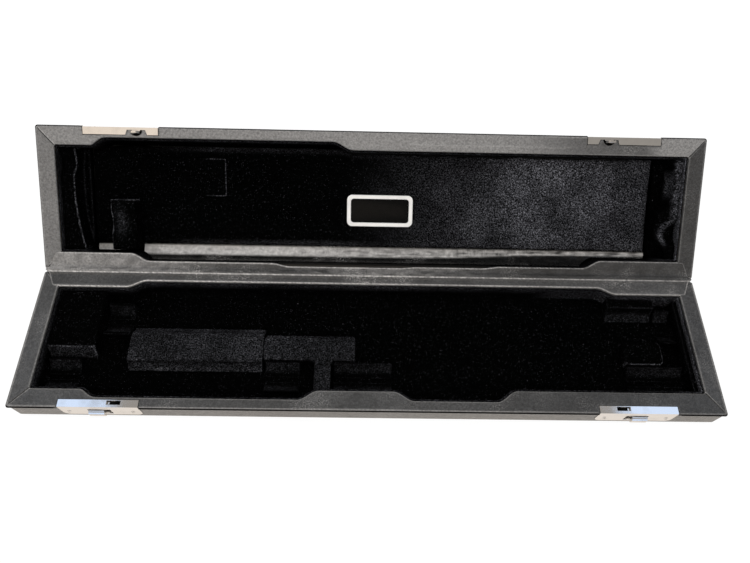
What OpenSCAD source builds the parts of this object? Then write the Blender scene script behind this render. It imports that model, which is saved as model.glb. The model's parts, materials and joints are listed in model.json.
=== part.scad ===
// Hard flute case: a leather-covered wooden tray and lid on a piano hinge, with two sliding
// latches and a fitted plush interior. Sizes are in millimetres.
// Inside each half, x runs from the left end, v from the front edge and z from the outer face.

/* [Case] */
// Length of the case
case_l = 430; // [425:1:440]
// Depth from the front face to the hinge line
case_d = 92.3; // [91:0.1:96]
// Height of the tray, from its underside to its rim
tray_h = 20; // [19:0.5:22]
// Height of the lid, from its top to its rim
lid_h = 28.1; // [27:0.1:30]
// Gap between the two rims when the case is shut
rim_gap = 0.6; // [0.5:0.05:0.8]
// Radius of the long outer edges
edge_r = 4.5; // [3.5:0.5:6]
// Radius of the four upright corners
corner_r = 3; // [2:0.5:4]

/* [Shell] */
// Thickness of the leather covering
leather_t = 1; // [0.8:0.1:1.2]
// Thickness of the tray's bottom board
tray_board_t = 4; // [3:0.5:4.5]
// Thickness of the lid's top board
lid_board_t = 3.5; // [3:0.5:4.5]
// Thickness of the leather turned down inside the rim
lip_t = 0.8; // [0.5:0.1:1]
// Thickness of the plush on the walls
wall_plush_t = 1.6; // [1:0.1:2]
// Thickness of the plush on the tray's bottom
tray_plush_t = 1.5; // [1:0.1:2]
// Thickness of the plush on the lid's inside
lid_plush_t = 1; // [0.6:0.1:1.5]
// How far the wall plush stays below the rim
plush_drop = 1.2; // [0.8:0.1:2]

/* [Rim outline] */
// Width of the rim at the left end
rim_left = 10.4; // [9.5:0.1:11]
// Width of the rim at the right end
rim_right = 10; // [9.5:0.1:11]
// Width of the front rim where it is broad
rim_front = 11.3; // [11:0.1:12]
// Width of the front rim where it is narrow
rim_front_thin = 6.2; // [6:0.1:7]
// Width of the rear rim where it is broad
rim_rear = 11.7; // [11:0.1:12.5]
// Width of the rear rim where it is narrow
rim_rear_thin = 7; // [6.8:0.1:7.5]
// Width of the front rim at the tray's middle swell
rim_swell = 12; // [11:0.1:13]
// Width of the tray's front rim beside the crown end
rim_crown = 13.2; // [12:0.1:14]
// Length of one step from broad to narrow
step_l = 10; // [8:0.5:12]

/* [Fitted blocks] */
// Distance of the body tube's axis from the hinge line
body_rear = 31.3; // [30.8:0.1:31.8]
// Distance of the foot and head tubes' axis from the front
foot_v = 23; // [22.5:0.5:24]
// Height of the tubes' axes above the tray's underside
tube_z = 17; // [16.5:0.5:18]
// Radius of the groove that a tube lies in
tube_groove_r = 9.9; // [9.6:0.1:10.2]
// Radius of the groove that the barrel lies in
barrel_groove_r = 11; // [10.6:0.1:11.4]
// Drop from the rim to the top of the end block
end_block_drop = 3; // [2:0.5:5]
// Drop from the rim to the tops of the ridge and the dividers
ridge_drop = 6; // [5:0.5:7]
// Drop from the lid's rim to the tops of its end blocks
lid_block_drop = 3; // [2:0.5:5]
// Thickness of the lid's padded panel
panel_t = 5; // [4:0.5:6]
// Thickness of the plush cushion on the lid's panel
panel_plush_t = 2.5; // [2:0.1:3]

/* [Nameplate] */
// Length of the nameplate
name_l = 43; // [38:1:48]
// Height of the nameplate
name_w = 21.2; // [18:0.2:24]
// Width of the nameplate's raised border
name_border = 2.3; // [1.5:0.1:3]
// Corner radius of the nameplate
name_r = 3.5; // [3:0.1:4.5]

/* [Hinge] */
// Outer radius of the hinge knuckles
knuckle_r = 1.6; // [1.4:0.05:1.7]
// Radius of the hinge pin
hinge_pin_r = 0.6; // [0.5:0.05:0.7]
// Running clearance between the pin and the lid's knuckles
pin_clear = 0.06; // [0.04:0.01:0.08]
// Thickness of the hinge leaves
leaf_t = 0.8; // [0.6:0.05:0.9]
// Number of knuckles
knuckle_n = 27; // [21:2:31]

/* [Latches] */
// Length of the latch plates
plate_l = 47.6; // [46:0.2:50]
// Distance of a latch plate from the end of the case
plate_x = 29.5; // [27:0.5:32]
// Thickness of the latch plates
plate_t = 1.2; // [1.1:0.05:1.3]
// Depth of the latch plates' flange on the rim
plate_rim_d = 4.5; // [4.4:0.1:4.8]
// Height of the latch plates' flange on the front
plate_front_h = 14; // [13.5:0.1:14.5]
// Travel of the slider
slide_travel = 3.2; // [2.8:0.1:3.4]

/* [Hidden] */

$fn = 48;
leather = [0.16, 0.16, 0.17];
plush = [0.05, 0.05, 0.06];
timber = [0.72, 0.56, 0.36];
metal = [0.82, 0.83, 0.85];
steel = [0.62, 0.63, 0.65];
enamel = [0.03, 0.03, 0.04];

// The lid leans back until its long rear edge rests on the table: this angle follows from the
// two heights and the edge radius.
axis_z = tray_h + rim_gap / 2;
lid_reach = lid_h + rim_gap / 2 - edge_r;
lean = acos((axis_z - edge_r) / norm([lid_reach, edge_r])) - atan2(edge_r, lid_reach);
lid_open = 180 - lean;

body_v = case_d - body_rear;

cove_clear = 0.35;
cove_r = knuckle_r + cove_clear;
seat_clear = 0.1;
slide_clear = 0.25;
tray_floor_z = leather_t + tray_board_t;
tray_pile_z = tray_floor_z + tray_plush_t;
lid_floor_z = leather_t + lid_board_t;
lid_pile_z = lid_floor_z + lid_plush_t;
panel_z = lid_pile_z + panel_t;
cushion_z = panel_z + panel_plush_t;
step_n = 6;

// ---- Rim outlines ----

// A smooth step from one rim width to another, as points from x0 to x1
function ease(x0, x1, v0, v1) =
    [for (i = [0:step_n]) [x0 + (x1 - x0) * i / step_n,
        v0 + (v1 - v0) * (1 - cos(180 * i / step_n)) / 2]];

function unit(a) = a / norm(a);
function turned(a) = [-a[1], a[0]];

// Moves each side of a closed anticlockwise outline inwards by t
function inset(pts, t) = [for (i = [0:len(pts) - 1])
    let (n = len(pts), p = pts[i],
        a = turned(unit(p - pts[(i + n - 1) % n])),
        b = turned(unit(pts[(i + 1) % n] - p)))
    p + t * (a + b) / (1 + a * b)];

// Stations along the case: those of the foot and the body from the left end, and those of the
// crown and the barrel from the right end
foot_x0 = 42;
foot_x1 = 172;
swell_x1 = 230;
crown_end = 137;
crown_x0 = case_l - crown_end;
tray_rear_x0 = 66;
tray_rear_end = 64;
tray_rear_x1 = case_l - tray_rear_end;
right_x = case_l - rim_right;
tray_outline = concat(
    [[rim_left, rim_front]],
    ease(foot_x0, foot_x0 + step_l, rim_front, rim_front_thin),
    ease(foot_x1, foot_x1 + step_l, rim_front_thin, rim_swell),
    ease(swell_x1, swell_x1 + step_l, rim_swell, rim_front_thin),
    ease(crown_x0, crown_x0 + step_l, rim_front_thin, rim_crown),
    [[right_x, rim_crown], [right_x, case_d - rim_rear]],
    ease(tray_rear_x1 + step_l, tray_rear_x1, case_d - rim_rear, case_d - rim_rear_thin),
    ease(tray_rear_x0, tray_rear_x0 - step_l, case_d - rim_rear_thin, case_d - rim_rear),
    [[rim_left, case_d - rim_rear]]);

lid_front_x0 = 36;
lid_front_x1 = 190;
lid_rear_x0 = 67;
lid_rear_end = 73;
lid_rear_x1 = case_l - lid_rear_end;
lid_outline = concat(
    [[rim_left, rim_front]],
    ease(lid_front_x0, lid_front_x0 + step_l, rim_front, rim_front_thin),
    ease(lid_front_x1, lid_front_x1 + step_l, rim_front_thin, rim_front),
    [[right_x, rim_front], [right_x, case_d - rim_rear]],
    ease(lid_rear_x1 + step_l, lid_rear_x1, case_d - rim_rear, case_d - rim_rear_thin),
    ease(lid_rear_x0, lid_rear_x0 - step_l, case_d - rim_rear_thin, case_d - rim_rear),
    [[rim_left, case_d - rim_rear]]);

// ---- Placing the two halves ----

module tray_place() {
    translate([-case_l / 2, -case_d / 2, 0]) children();
}

// Turns the lid about the hinge line; its own z runs down from its top when it is shut
module lid_place() {
    translate([-case_l / 2, case_d / 2, axis_z])
        rotate([-lid_open, 0, 0])
            translate([0, -case_d, lid_h + rim_gap / 2])
                mirror([0, 0, 1]) children();
}

// The left latch's place, or its mirror image at the right end
module latch_place(right) {
    if (right)
        translate([case_l, 0, 0]) mirror([1, 0, 0]) translate([plate_x, 0, 0]) children();
    else
        translate([plate_x, 0, 0]) children();
}

module both_latches() {
    for (right = [false, true]) latch_place(right) children();
}

// ---- Shapes that both halves share ----

module rounded_plan(t) {
    r = corner_r;
    translate([r, t]) square([case_l - 2 * r, case_d - 2 * t]);
    translate([t, r]) square([case_l - 2 * t, case_d - 2 * r]);
    for (x = [r, case_l - r], v = [r, case_d - r]) translate([x, v]) circle(r - t);
}

// Section with its two lower corners rounded
module tub_profile(w, h, t) {
    r = edge_r;
    translate([t, r]) square([w - 2 * t, h - r]);
    translate([r, t]) square([w - 2 * r, r]);
    for (x = [r, w - r]) translate([x, r]) circle(r - t);
}

// The whole outer form of one half, or the same form t further in
module half_form(h, t) {
    intersection() {
        linear_extrude(h) rounded_plan(t);
        rotate([90, 0, 90]) linear_extrude(case_l) tub_profile(case_d, h, t);
        translate([0, case_d, 0]) rotate([90, 0, 0]) linear_extrude(case_d)
            tub_profile(case_l, h, t);
    }
}

module block(x0, x1, v0, v1, z0, z1) {
    translate([x0, v0, z0]) cube([x1 - x0, v1 - v0, z1 - z0]);
}

module along_x(x0, x1, v, z, r) {
    translate([x0, v, z]) rotate([0, 90, 0]) cylinder(h = x1 - x0, r = r);
}

module hinge_cove(h) {
    along_x(-1, case_l + 1, case_d, h + rim_gap / 2, cove_r);
}

module board(h, t) {
    intersection() {
        half_form(h, leather_t);
        block(0, case_l, 0, case_d, leather_t, leather_t + t);
    }
}

// The mitred joints between the rails and the end boards run past the rim's inner corners
mitre_x = 20;
mitre_v = 29;
module rail_plan(rear) {
    translate([0, rear ? case_d : 0]) scale([1, rear ? -1 : 1])
        polygon([[0, 0], [case_l, 0], [case_l - mitre_x, mitre_v], [mitre_x, mitre_v]]);
}

module end_plan(right) {
    translate([right ? case_l : 0, 0]) scale([right ? -1 : 1, 1])
        polygon([[0, 0], [mitre_x, mitre_v], [mitre_x, case_d - mitre_v], [0, case_d]]);
}

// Wooden wall of one half over a plan, shaped inside to the rim outline
module wall(h, outline, z0) {
    difference() {
        intersection() {
            half_form(h, leather_t);
            translate([0, 0, z0]) linear_extrude(h - leather_t - z0) difference() {
                children();
                polygon(inset(outline, -lip_t));
            }
        }
        leaf_blank(h);
        hinge_cove(h);
        leaf_screw_pilots(h);
    }
}

module flat_leather() {
    block(edge_r, case_l - edge_r, edge_r, case_d - edge_r, 0, leather_t);
}

module side_leather(h) {
    difference() {
        intersection() {
            half_form(h, 0);
            block(0, case_l, 0, case_d, 0, h - leather_t);
        }
        half_form(h, leather_t);
        flat_leather();
        hinge_cove(h);
        leaf_blank(h);
        both_latches() plate_blank(h);
    }
}

// The rear rim's facing, with mitred ends
strip_end = 4.3;
module strip_plan() {
    polygon([[rim_left, case_d - rim_rear], [right_x, case_d - rim_rear],
        [case_l - strip_end, case_d], [strip_end, case_d]]);
}

// Leather on the rim and down inside it; the children are the latch plate's cut
module rim_leather(h, outline, z0) {
    difference() {
        translate([0, 0, h - leather_t]) linear_extrude(leather_t) difference() {
            rounded_plan(0);
            polygon(outline);
            strip_plan();
        }
        hinge_cove(h);
        both_latches() children();
    }
    translate([0, 0, z0]) linear_extrude(h - leather_t - z0) difference() {
        polygon(inset(outline, -lip_t));
        polygon(outline);
    }
}

module hinge_leather(h, outline) {
    difference() {
        translate([0, 0, h - leather_t]) linear_extrude(leather_t) difference() {
            strip_plan();
            polygon(outline);
        }
        hinge_cove(h);
    }
}

module wall_plush(h, outline, z0) {
    translate([0, 0, z0]) linear_extrude(h - plush_drop - z0) difference() {
        polygon(outline);
        polygon(inset(outline, wall_plush_t));
    }
}

// The room inside the wall plush
module inside(h, outline) {
    linear_extrude(h) polygon(inset(outline, wall_plush_t + seat_clear));
}

// ---- Wooden shells ----

module tray_bottom_board() {
    color(timber) tray_place() board(tray_h, tray_board_t);
}

module tray_front_rail() {
    color(timber) tray_place() difference() {
        wall(tray_h, tray_outline, tray_floor_z) rail_plan(false);
        both_latches() latch_pocket(tray_h);
        both_latches() plate_screw(tray_h);
    }
}

module tray_rear_rail() {
    color(timber) tray_place() wall(tray_h, tray_outline, tray_floor_z) rail_plan(true);
}

module tray_left_end() {
    color(timber) tray_place() wall(tray_h, tray_outline, tray_floor_z) end_plan(false);
}

module tray_right_end() {
    color(timber) tray_place() wall(tray_h, tray_outline, tray_floor_z) end_plan(true);
}

module lid_top_board() {
    color(timber) lid_place() board(lid_h, lid_board_t);
}

module lid_front_rail() {
    color(timber) lid_place() difference() {
        wall(lid_h, lid_outline, lid_floor_z) rail_plan(false);
        both_latches() hook_pocket(lid_h);
        both_latches() plate_screw(lid_h);
    }
}

module lid_rear_rail() {
    color(timber) lid_place() wall(lid_h, lid_outline, lid_floor_z) rail_plan(true);
}

module lid_left_end() {
    color(timber) lid_place() wall(lid_h, lid_outline, lid_floor_z) end_plan(false);
}

module lid_right_end() {
    color(timber) lid_place() wall(lid_h, lid_outline, lid_floor_z) end_plan(true);
}

// ---- Leather ----

module tray_bottom_leather() {
    color(leather) tray_place() flat_leather();
}

module tray_side_leather() {
    color(leather) tray_place() side_leather(tray_h);
}

module tray_rim_leather() {
    color(leather) tray_place() rim_leather(tray_h, tray_outline, tray_floor_z)
        plate_blank(tray_h);
}

module tray_hinge_leather() {
    color(leather) tray_place() hinge_leather(tray_h, tray_outline);
}

module lid_top_leather() {
    color(leather) lid_place() flat_leather();
}

module lid_side_leather() {
    color(leather) lid_place() side_leather(lid_h);
}

module lid_rim_leather() {
    color(leather) lid_place() difference() {
        rim_leather(lid_h, lid_outline, lid_floor_z) notched_blank(lid_h);
        both_latches() hook_pocket(lid_h);
    }
}

module lid_hinge_leather() {
    color(leather) lid_place() hinge_leather(lid_h, lid_outline);
}

// ---- Tray lining and fitted blocks ----

module tray_wall_plush() {
    color(plush) tray_place() wall_plush(tray_h, tray_outline, tray_pile_z);
}

module tray_bottom_plush() {
    color(plush) tray_place() translate([0, 0, tray_floor_z]) linear_extrude(tray_plush_t)
        polygon(tray_outline);
}

in_left = rim_left + wall_plush_t + seat_clear;
in_right = right_x - wall_plush_t - seat_clear;
in_front = rim_front + wall_plush_t + seat_clear;
in_rear = case_d - rim_rear - wall_plush_t - seat_clear;
swell_front = rim_swell + wall_plush_t + seat_clear;
crown_front = rim_crown + wall_plush_t + seat_clear;
ridge_z = tray_h - ridge_drop;
end_block_z = tray_h - end_block_drop;
block_r = 2.5;

// Upright block with rounded corners in plan
module soft_block(x0, x1, v0, v1, z0, z1, r) {
    translate([0, 0, z0]) linear_extrude(z1 - z0) {
        translate([x0 + r, v0]) square([x1 - x0 - 2 * r, v1 - v0]);
        translate([x0, v0 + r]) square([x1 - x0, v1 - v0 - 2 * r]);
        for (x = [x0 + r, x1 - r], v = [v0 + r, v1 - r]) translate([x, v]) circle(r);
    }
}

// The grooves that the body tube, and the foot and head tubes, press into the blocks
module tube_grooves(r) {
    for (v = [body_v, foot_v]) along_x(0, case_l, v, tube_z, r);
}

// Fills the tray between the end wall and the tube's tenon, with a sloping front
tenon_x = 42;
left_block_gap = 2.1;
left_block_slope = 5;
left_block_v = foot_v + tube_groove_r + left_block_gap;
module tray_left_block() {
    color(plush) tray_place() translate([in_left, 0, 0]) rotate([90, 0, 90])
        linear_extrude(tenon_x - in_left)
            polygon([[left_block_v, tray_pile_z], [in_rear, tray_pile_z],
                [in_rear, end_block_z], [left_block_v + left_block_slope, end_block_z]]);
}

// Ridge between the foot and the body, hollowed on both sides
ridge_x0 = 62;
under_tube = 4;
t_x0 = 147;
t_x1 = 205;
module foot_ridge() {
    color(plush) tray_place() difference() {
        block(ridge_x0, t_x0 - seat_clear, foot_v + under_tube, body_v - under_tube,
            tray_pile_z, ridge_z);
        tube_grooves(tube_groove_r);
    }
}

// Cross bar between the two rows of tubes, and a stem that parts the foot from the head
stem_x = 179.5;
stem_w = 10.5;
bar_gap = 0.6;
bar_v0 = foot_v + tube_groove_r + bar_gap;
bar_v1 = body_v - tube_groove_r - bar_gap;
module centre_t_block() {
    color(plush) tray_place() intersection() {
        union() {
            soft_block(t_x0, t_x1, bar_v0, bar_v1, tray_pile_z, ridge_z, block_r);
            block(stem_x, stem_x + stem_w, 0, bar_v0 + block_r, tray_pile_z, ridge_z);
        }
        inside(tray_h, tray_outline);
    }
}

divider_end = 28;
divider_l = 26;
divider_r = 4;
divider_gap = 0.2;
divider_x1 = case_l - divider_end;
divider_x0 = divider_x1 - divider_l;
module barrel_divider() {
    color(plush) tray_place()
        soft_block(divider_x0, divider_x1, bar_v0, body_v - barrel_groove_r - divider_gap,
            tray_pile_z, ridge_z, divider_r);
}

rear_block_lead = 5;
module barrel_rear_block() {
    color(plush) tray_place() difference() {
        intersection() {
            soft_block(divider_x0 - rear_block_lead, divider_x1, body_v + under_tube,
                case_d - rim_rear, tray_pile_z, end_block_z, block_r);
            inside(tray_h, tray_outline);
        }
        along_x(0, case_l, body_v, tube_z, barrel_groove_r);
    }
}

pad_t = 3;
pad_r = 1.4;
pad_below_block = 1;
module right_end_pad() {
    color(plush) tray_place()
        soft_block(in_right - pad_t, in_right, crown_front, in_rear, tray_pile_z,
            end_block_z - pad_below_block, pad_r);
}

// Low cradle across the bottom with a half-round groove
saddle_top = 13;
saddle_gap = 1.5;
saddle_side_gap = 0.4;
tenon_saddle_half = 11;
barrel_saddle_half = 12;
foot_saddle_l = 20;
module saddle(x0, x1, v0, v1, v, r) {
    tray_place() difference() {
        block(x0, x1, v0, v1, tray_pile_z, saddle_top);
        along_x(x0 - 1, x1 + 1, v, tube_z, r);
    }
}

module tenon_saddle() {
    color(plush) saddle(tenon_x + saddle_gap, ridge_x0 - saddle_gap, body_v - tenon_saddle_half,
        body_v + tenon_saddle_half, body_v, tube_groove_r);
}

module barrel_saddle() {
    color(plush) saddle(divider_x1 + saddle_gap, in_right - pad_t - saddle_gap,
        body_v - barrel_saddle_half, body_v + barrel_saddle_half, body_v, barrel_groove_r);
}

module foot_left_saddle() {
    x0 = in_left + saddle_gap;
    color(plush) saddle(x0, x0 + foot_saddle_l, in_front, left_block_v - saddle_gap, foot_v,
        tube_groove_r);
}

module foot_right_saddle() {
    color(plush) saddle(t_x0 + saddle_gap, foot_x1 - saddle_gap, swell_front,
        bar_v0 - saddle_side_gap, foot_v, tube_groove_r);
}

module head_left_saddle() {
    color(plush) saddle(stem_x + stem_w + saddle_gap, swell_x1 - saddle_gap, swell_front,
        bar_v0 - saddle_side_gap, foot_v, tube_groove_r);
}

module head_right_saddle() {
    color(plush) saddle(divider_x0 + saddle_gap, in_right - pad_t - saddle_gap, crown_front,
        bar_v0 - saddle_side_gap, foot_v, tube_groove_r);
}

// ---- Lid lining and fitted blocks ----

lid_left_x = 26;
panel_gap = 2;
panel_end = 29;
panel_rear = 20.3;
panel_x0 = lid_left_x + panel_gap;
panel_x1 = case_l - panel_end;
panel_v0 = 10.4;
panel_v1 = case_d - panel_rear;
hold_x0 = 42.8;
hold_x1 = 58.8;
cove_fill_r = 13.5;
cove_below_panel = 1;
cove_base_z = panel_z - cove_below_panel;

// Room kept for the leather cove along the hinge side
module cove_room(grow) {
    block(panel_x0 - grow, panel_x1 + grow, panel_v1, case_d, lid_pile_z,
        cove_base_z + cove_fill_r + grow);
}

module lid_wall_plush() {
    color(plush) lid_place() difference() {
        wall_plush(lid_h, lid_outline, lid_pile_z);
        cove_room(seat_clear);
    }
}

module lid_inner_plush() {
    color(plush) lid_place() translate([0, 0, lid_floor_z]) linear_extrude(lid_plush_t)
        polygon(lid_outline);
}

module lid_panel_board() {
    color(timber) lid_place() intersection() {
        block(panel_x0, panel_x1, panel_v0, panel_v1, lid_pile_z, panel_z);
        inside(lid_h, lid_outline);
    }
}

// Crowned cushion: its four long edges are rounded over
cushion_edge = 0.5;
module lid_panel_cushion() {
    r = panel_plush_t - cushion_edge;
    color(plush) lid_place() intersection() {
        translate([panel_x0, 0, panel_z]) rotate([90, 0, 90])
            linear_extrude(panel_x1 - panel_x0) pillow_profile(panel_v0, panel_v1, r);
        translate([0, panel_v1, panel_z]) rotate([90, 0, 0])
            linear_extrude(panel_v1 - panel_v0) pillow_profile(panel_x0, panel_x1, r);
        inside(lid_h, lid_outline);
    }
}

// Section with its two upper corners rounded, flat below
module pillow_profile(a0, a1, r) {
    translate([a0 + r, 0]) square([a1 - a0 - 2 * r, panel_plush_t]);
    intersection() {
        union() {
            translate([a0, 0]) square([a1 - a0, panel_plush_t - r]);
            for (a = [a0 + r, a1 - r]) translate([a, panel_plush_t - r]) circle(r);
        }
        translate([a0, 0]) square([a1 - a0, panel_plush_t]);
    }
}

// Leather-covered cove between the panel and the hinge-side wall
module lid_rear_cove() {
    color(leather) lid_place() difference() {
        intersection() {
            cove_room(0);
            linear_extrude(lid_h) polygon(lid_outline);
        }
        along_x(0, case_l, panel_v1, cove_base_z + cove_fill_r, cove_fill_r);
        block(hold_x0 - seat_clear, hold_x1 + seat_clear, 0, case_d, 0, lid_h);
    }
}

left_face_r = 160;
left_face_v = 38;
left_face_dip = 5;
left_face_foot = 6;
module lid_left_block() {
    color(plush) lid_place() difference() {
        block(in_left, lid_left_x, in_front, in_rear, lid_pile_z, lid_h - lid_block_drop);
        translate([lid_left_x - left_face_dip + left_face_r, left_face_v,
            lid_pile_z + left_face_foot])
            cylinder(h = lid_h, r = left_face_r, $fn = 96);
        lid_grooves(tube_groove_r, 0, lid_left_x + 1);
    }
}

// What the tubes press into the lid's blocks when the case is shut
lid_tube_z = lid_h + rim_gap + tray_h - tube_z;
module lid_grooves(r, x0, x1) {
    along_x(x0, x1, foot_v, lid_tube_z, r);
}

// Two hollows in the right block's face: a wide one for the crown and one beside the hinge
right_block_gap = 3.5;
crown_hollow_r = 22;
crown_hollow_back = 12;
crown_hollow_v = foot_v + 7;
hinge_hollow_r = 10;
hinge_hollow_back = 3;
hinge_hollow_rear = 16.3;
module lid_right_block() {
    x0 = panel_x1 + right_block_gap;
    color(plush) lid_place() difference() {
        block(x0, in_right, in_front, in_rear, lid_pile_z, lid_h - lid_block_drop);
        translate([x0 - crown_hollow_back, crown_hollow_v, cushion_z])
            cylinder(h = lid_h, r = crown_hollow_r);
        translate([x0 - hinge_hollow_back, case_d - hinge_hollow_rear, cushion_z])
            cylinder(h = lid_h, r = hinge_hollow_r);
        along_x(x0 - 1, in_right + 1, body_v, lid_tube_z, barrel_groove_r);
    }
}

// Presses the body's tenon into its saddle when the lid is shut
hold_before_axis = 15.5;
hold_below_block = 1;
module tenon_hold_down() {
    top = lid_h - lid_block_drop - hold_below_block;
    color(plush) lid_place() difference() {
        union() {
            block(hold_x0, hold_x1, body_v - hold_before_axis, panel_v1 + 1, cushion_z, top);
            block(hold_x0, hold_x1, panel_v1 + seat_clear, in_rear, lid_pile_z, top);
        }
        along_x(hold_x0 - 1, hold_x1 + 1, body_v, lid_tube_z, tube_groove_r);
    }
}

foot_pad_gap = 4;
foot_pad_l = 54.2;
foot_pad_w = 25;
foot_pad_t = 2;
foot_pad_r = 1.5;
foot_pad_before_axis = 5;
module foot_pad() {
    x0 = hold_x1 + foot_pad_gap;
    v0 = foot_v - foot_pad_before_axis;
    color(plush) lid_place() soft_block(x0, x0 + foot_pad_l, v0, v0 + foot_pad_w, cushion_z,
        cushion_z + foot_pad_t, foot_pad_r);
}

// ---- Nameplate on the lid's cushion ----

name_x = 219.3;
name_rear = 21.2;
name_v = panel_v1 - name_rear;
frame_t = 1.2;
field_t = 0.7;

module name_plan(t) {
    w = name_l - 2 * t;
    d = name_w - 2 * t;
    r = name_r - t / 2;
    translate([name_x - w / 2 + r, name_v - d / 2]) square([w - 2 * r, d]);
    translate([name_x - w / 2, name_v - d / 2 + r]) square([w, d - 2 * r]);
    for (x = [-1, 1], v = [-1, 1])
        translate([name_x + x * (w / 2 - r), name_v + v * (d / 2 - r)]) circle(r);
}

module nameplate_frame() {
    color(metal) lid_place() translate([0, 0, cushion_z]) linear_extrude(frame_t) difference() {
        name_plan(0);
        name_plan(name_border);
    }
}

module nameplate_field() {
    color(enamel) lid_place() translate([0, 0, cushion_z]) linear_extrude(field_t)
        name_plan(name_border);
}

// ---- Piano hinge ----

hinge_inset = 5;
hinge_l = case_l - 2 * hinge_inset;
knuckle_pitch = hinge_l / knuckle_n;
knuckle_end_gap = 0.15;
leaf_v0 = case_d - rim_rear_thin + lip_t + 0.3;
leaf_screw_n = 9;
leaf_screw_v = (leaf_v0 + case_d - cove_r) / 2;
screw_shaft_r = 0.7;
screw_head_r = 1.2;
screw_l = 7;

// Flat part of a leaf with all its tabs, as the cut that it lies in
module leaf_blank(h) {
    block(hinge_inset, case_l - hinge_inset, leaf_v0, case_d,
        h - leather_t - leaf_t, h - leather_t);
}

module leaf_screw_place(h) {
    for (i = [0:leaf_screw_n - 1])
        translate([hinge_inset + (i + 0.5) * hinge_l / leaf_screw_n, leaf_screw_v,
            h - leather_t]) children();
}

// Countersunk screw with its head's top at z = 0
module leaf_screw() {
    translate([0, 0, -leaf_t]) cylinder(h = leaf_t, r1 = screw_shaft_r, r2 = screw_head_r);
    translate([0, 0, -screw_l]) cylinder(h = screw_l - leaf_t, r = screw_shaft_r);
}

module leaf_screws(h) {
    leaf_screw_place(h) leaf_screw();
}

// Holes for the screws in the rail below the leaf
module leaf_screw_pilots(h) {
    leaf_screw_place(h) translate([0, 0, -screw_l]) cylinder(h = screw_l, r = screw_shaft_r);
}

// One leaf; odd is 0 for the tray's knuckles and 1 for the lid's
module hinge_leaf(h, odd, bore_r) {
    z = h + rim_gap / 2;
    difference() {
        union() {
            block(hinge_inset, case_l - hinge_inset, leaf_v0, case_d - cove_r,
                h - leather_t - leaf_t, h - leather_t);
            for (i = [odd:2:knuckle_n - 1]) {
                x0 = hinge_inset + i * knuckle_pitch + knuckle_end_gap / 2;
                x1 = x0 + knuckle_pitch - knuckle_end_gap;
                block(x0, x1, case_d - cove_r - 0.5, case_d,
                    h - leather_t - leaf_t, h - leather_t);
                along_x(x0, x1, case_d, z, knuckle_r);
            }
        }
        along_x(0, case_l, case_d, z, bore_r);
        leaf_screws(h);
    }
}

module hinge_tray_leaf() {
    color(steel) tray_place() hinge_leaf(tray_h, 0, hinge_pin_r);
}

module hinge_lid_leaf() {
    color(steel) lid_place() hinge_leaf(lid_h, 1, hinge_pin_r + pin_clear);
}

module hinge_pin() {
    color(steel) tray_place()
        along_x(hinge_inset, case_l - hinge_inset, case_d, axis_z, hinge_pin_r);
}

module hinge_screws() {
    color(steel) tray_place() leaf_screws(tray_h);
}

// ---- Latches, drawn for the left end; u runs from the plate's outer end ----

plate_proud = plate_t - leather_t;
plate_corner_r = 4;
slot_u0 = 28.8;
slot_u1 = 37;
slot_v0 = 1.5;
slot_v1 = 4;
window_u0 = 16.3;
window_u1 = 29.9;
window_drop0 = 4.5;
window_drop1 = 12;
pocket_u0 = 12;
pocket_u1 = 40;
pocket_v1 = 4.4;
pocket_drop = 13;
screw_u = [4.5, 42.5];
screw_drop = 8.5;
plate_screw_l = 4;
plate_screw_r = 0.8;
plate_head_r = 1.5;
plate_head_t = 0.6;
bolt_v0 = 2.1;
bolt_v1 = 3.7;
bolt_top = 1.35;
bolt_h = 1.6;
hook_v0 = 2.15;
hook_v1 = 3.55;
barb_u0 = 31;
shank_u0 = barb_u0 + slide_travel - 0.6;
hook_u1 = 36.4;
barb_drop = bolt_top + bolt_h + slide_clear;
hook_drop = 6;
carrier_t = 0.75;
carrier_v0 = leather_t + slide_clear + seat_clear;
carrier_lap = 2;
neck_inset = 1.5;
neck_drop = 1;
window_play = 0.5;
button_out = 2;
button_edge = 0.6;
button_hollow_r = 2.2;

// Front flange with rounded lower corners
module front_flange(h) {
    r = plate_corner_r;
    z0 = h - plate_front_h;
    translate([0, leather_t, 0]) rotate([90, 0, 0]) linear_extrude(plate_t) {
        translate([0, z0 + r]) square([plate_l, plate_front_h - r + plate_proud]);
        translate([r, z0]) square([plate_l - 2 * r, r]);
        for (u = [r, plate_l - r]) translate([u, z0 + r]) circle(r);
    }
}

module plate_blank(h) {
    front_flange(h);
    block(0, plate_l, -plate_proud, plate_rim_d, h - leather_t, h + plate_proud);
}

module plate_screw(h) {
    for (u = screw_u) translate([u, leather_t + plate_screw_l, h - screw_drop])
        rotate([90, 0, 0]) cylinder(h = plate_screw_l + plate_t, r = plate_screw_r);
}

module plate_screw_heads(h) {
    for (u = screw_u) translate([u, -plate_proud, h - screw_drop]) rotate([90, 0, 0])
        cylinder(h = plate_head_t, r = plate_head_r);
}

// Room in the front rail for the slider and its bolt
module latch_pocket(h) {
    block(pocket_u0, pocket_u1, 0, pocket_v1, h - pocket_drop, h);
}

module latch_plate() {
    difference() {
        plate_blank(tray_h);
        block(slot_u0, slot_u1, slot_v0, slot_v1, 0, tray_h + 1);
        block(window_u0, window_u1, -1, leather_t + 0.01,
            tray_h - window_drop1, tray_h - window_drop0);
        plate_screw(tray_h);
    }
}

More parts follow.
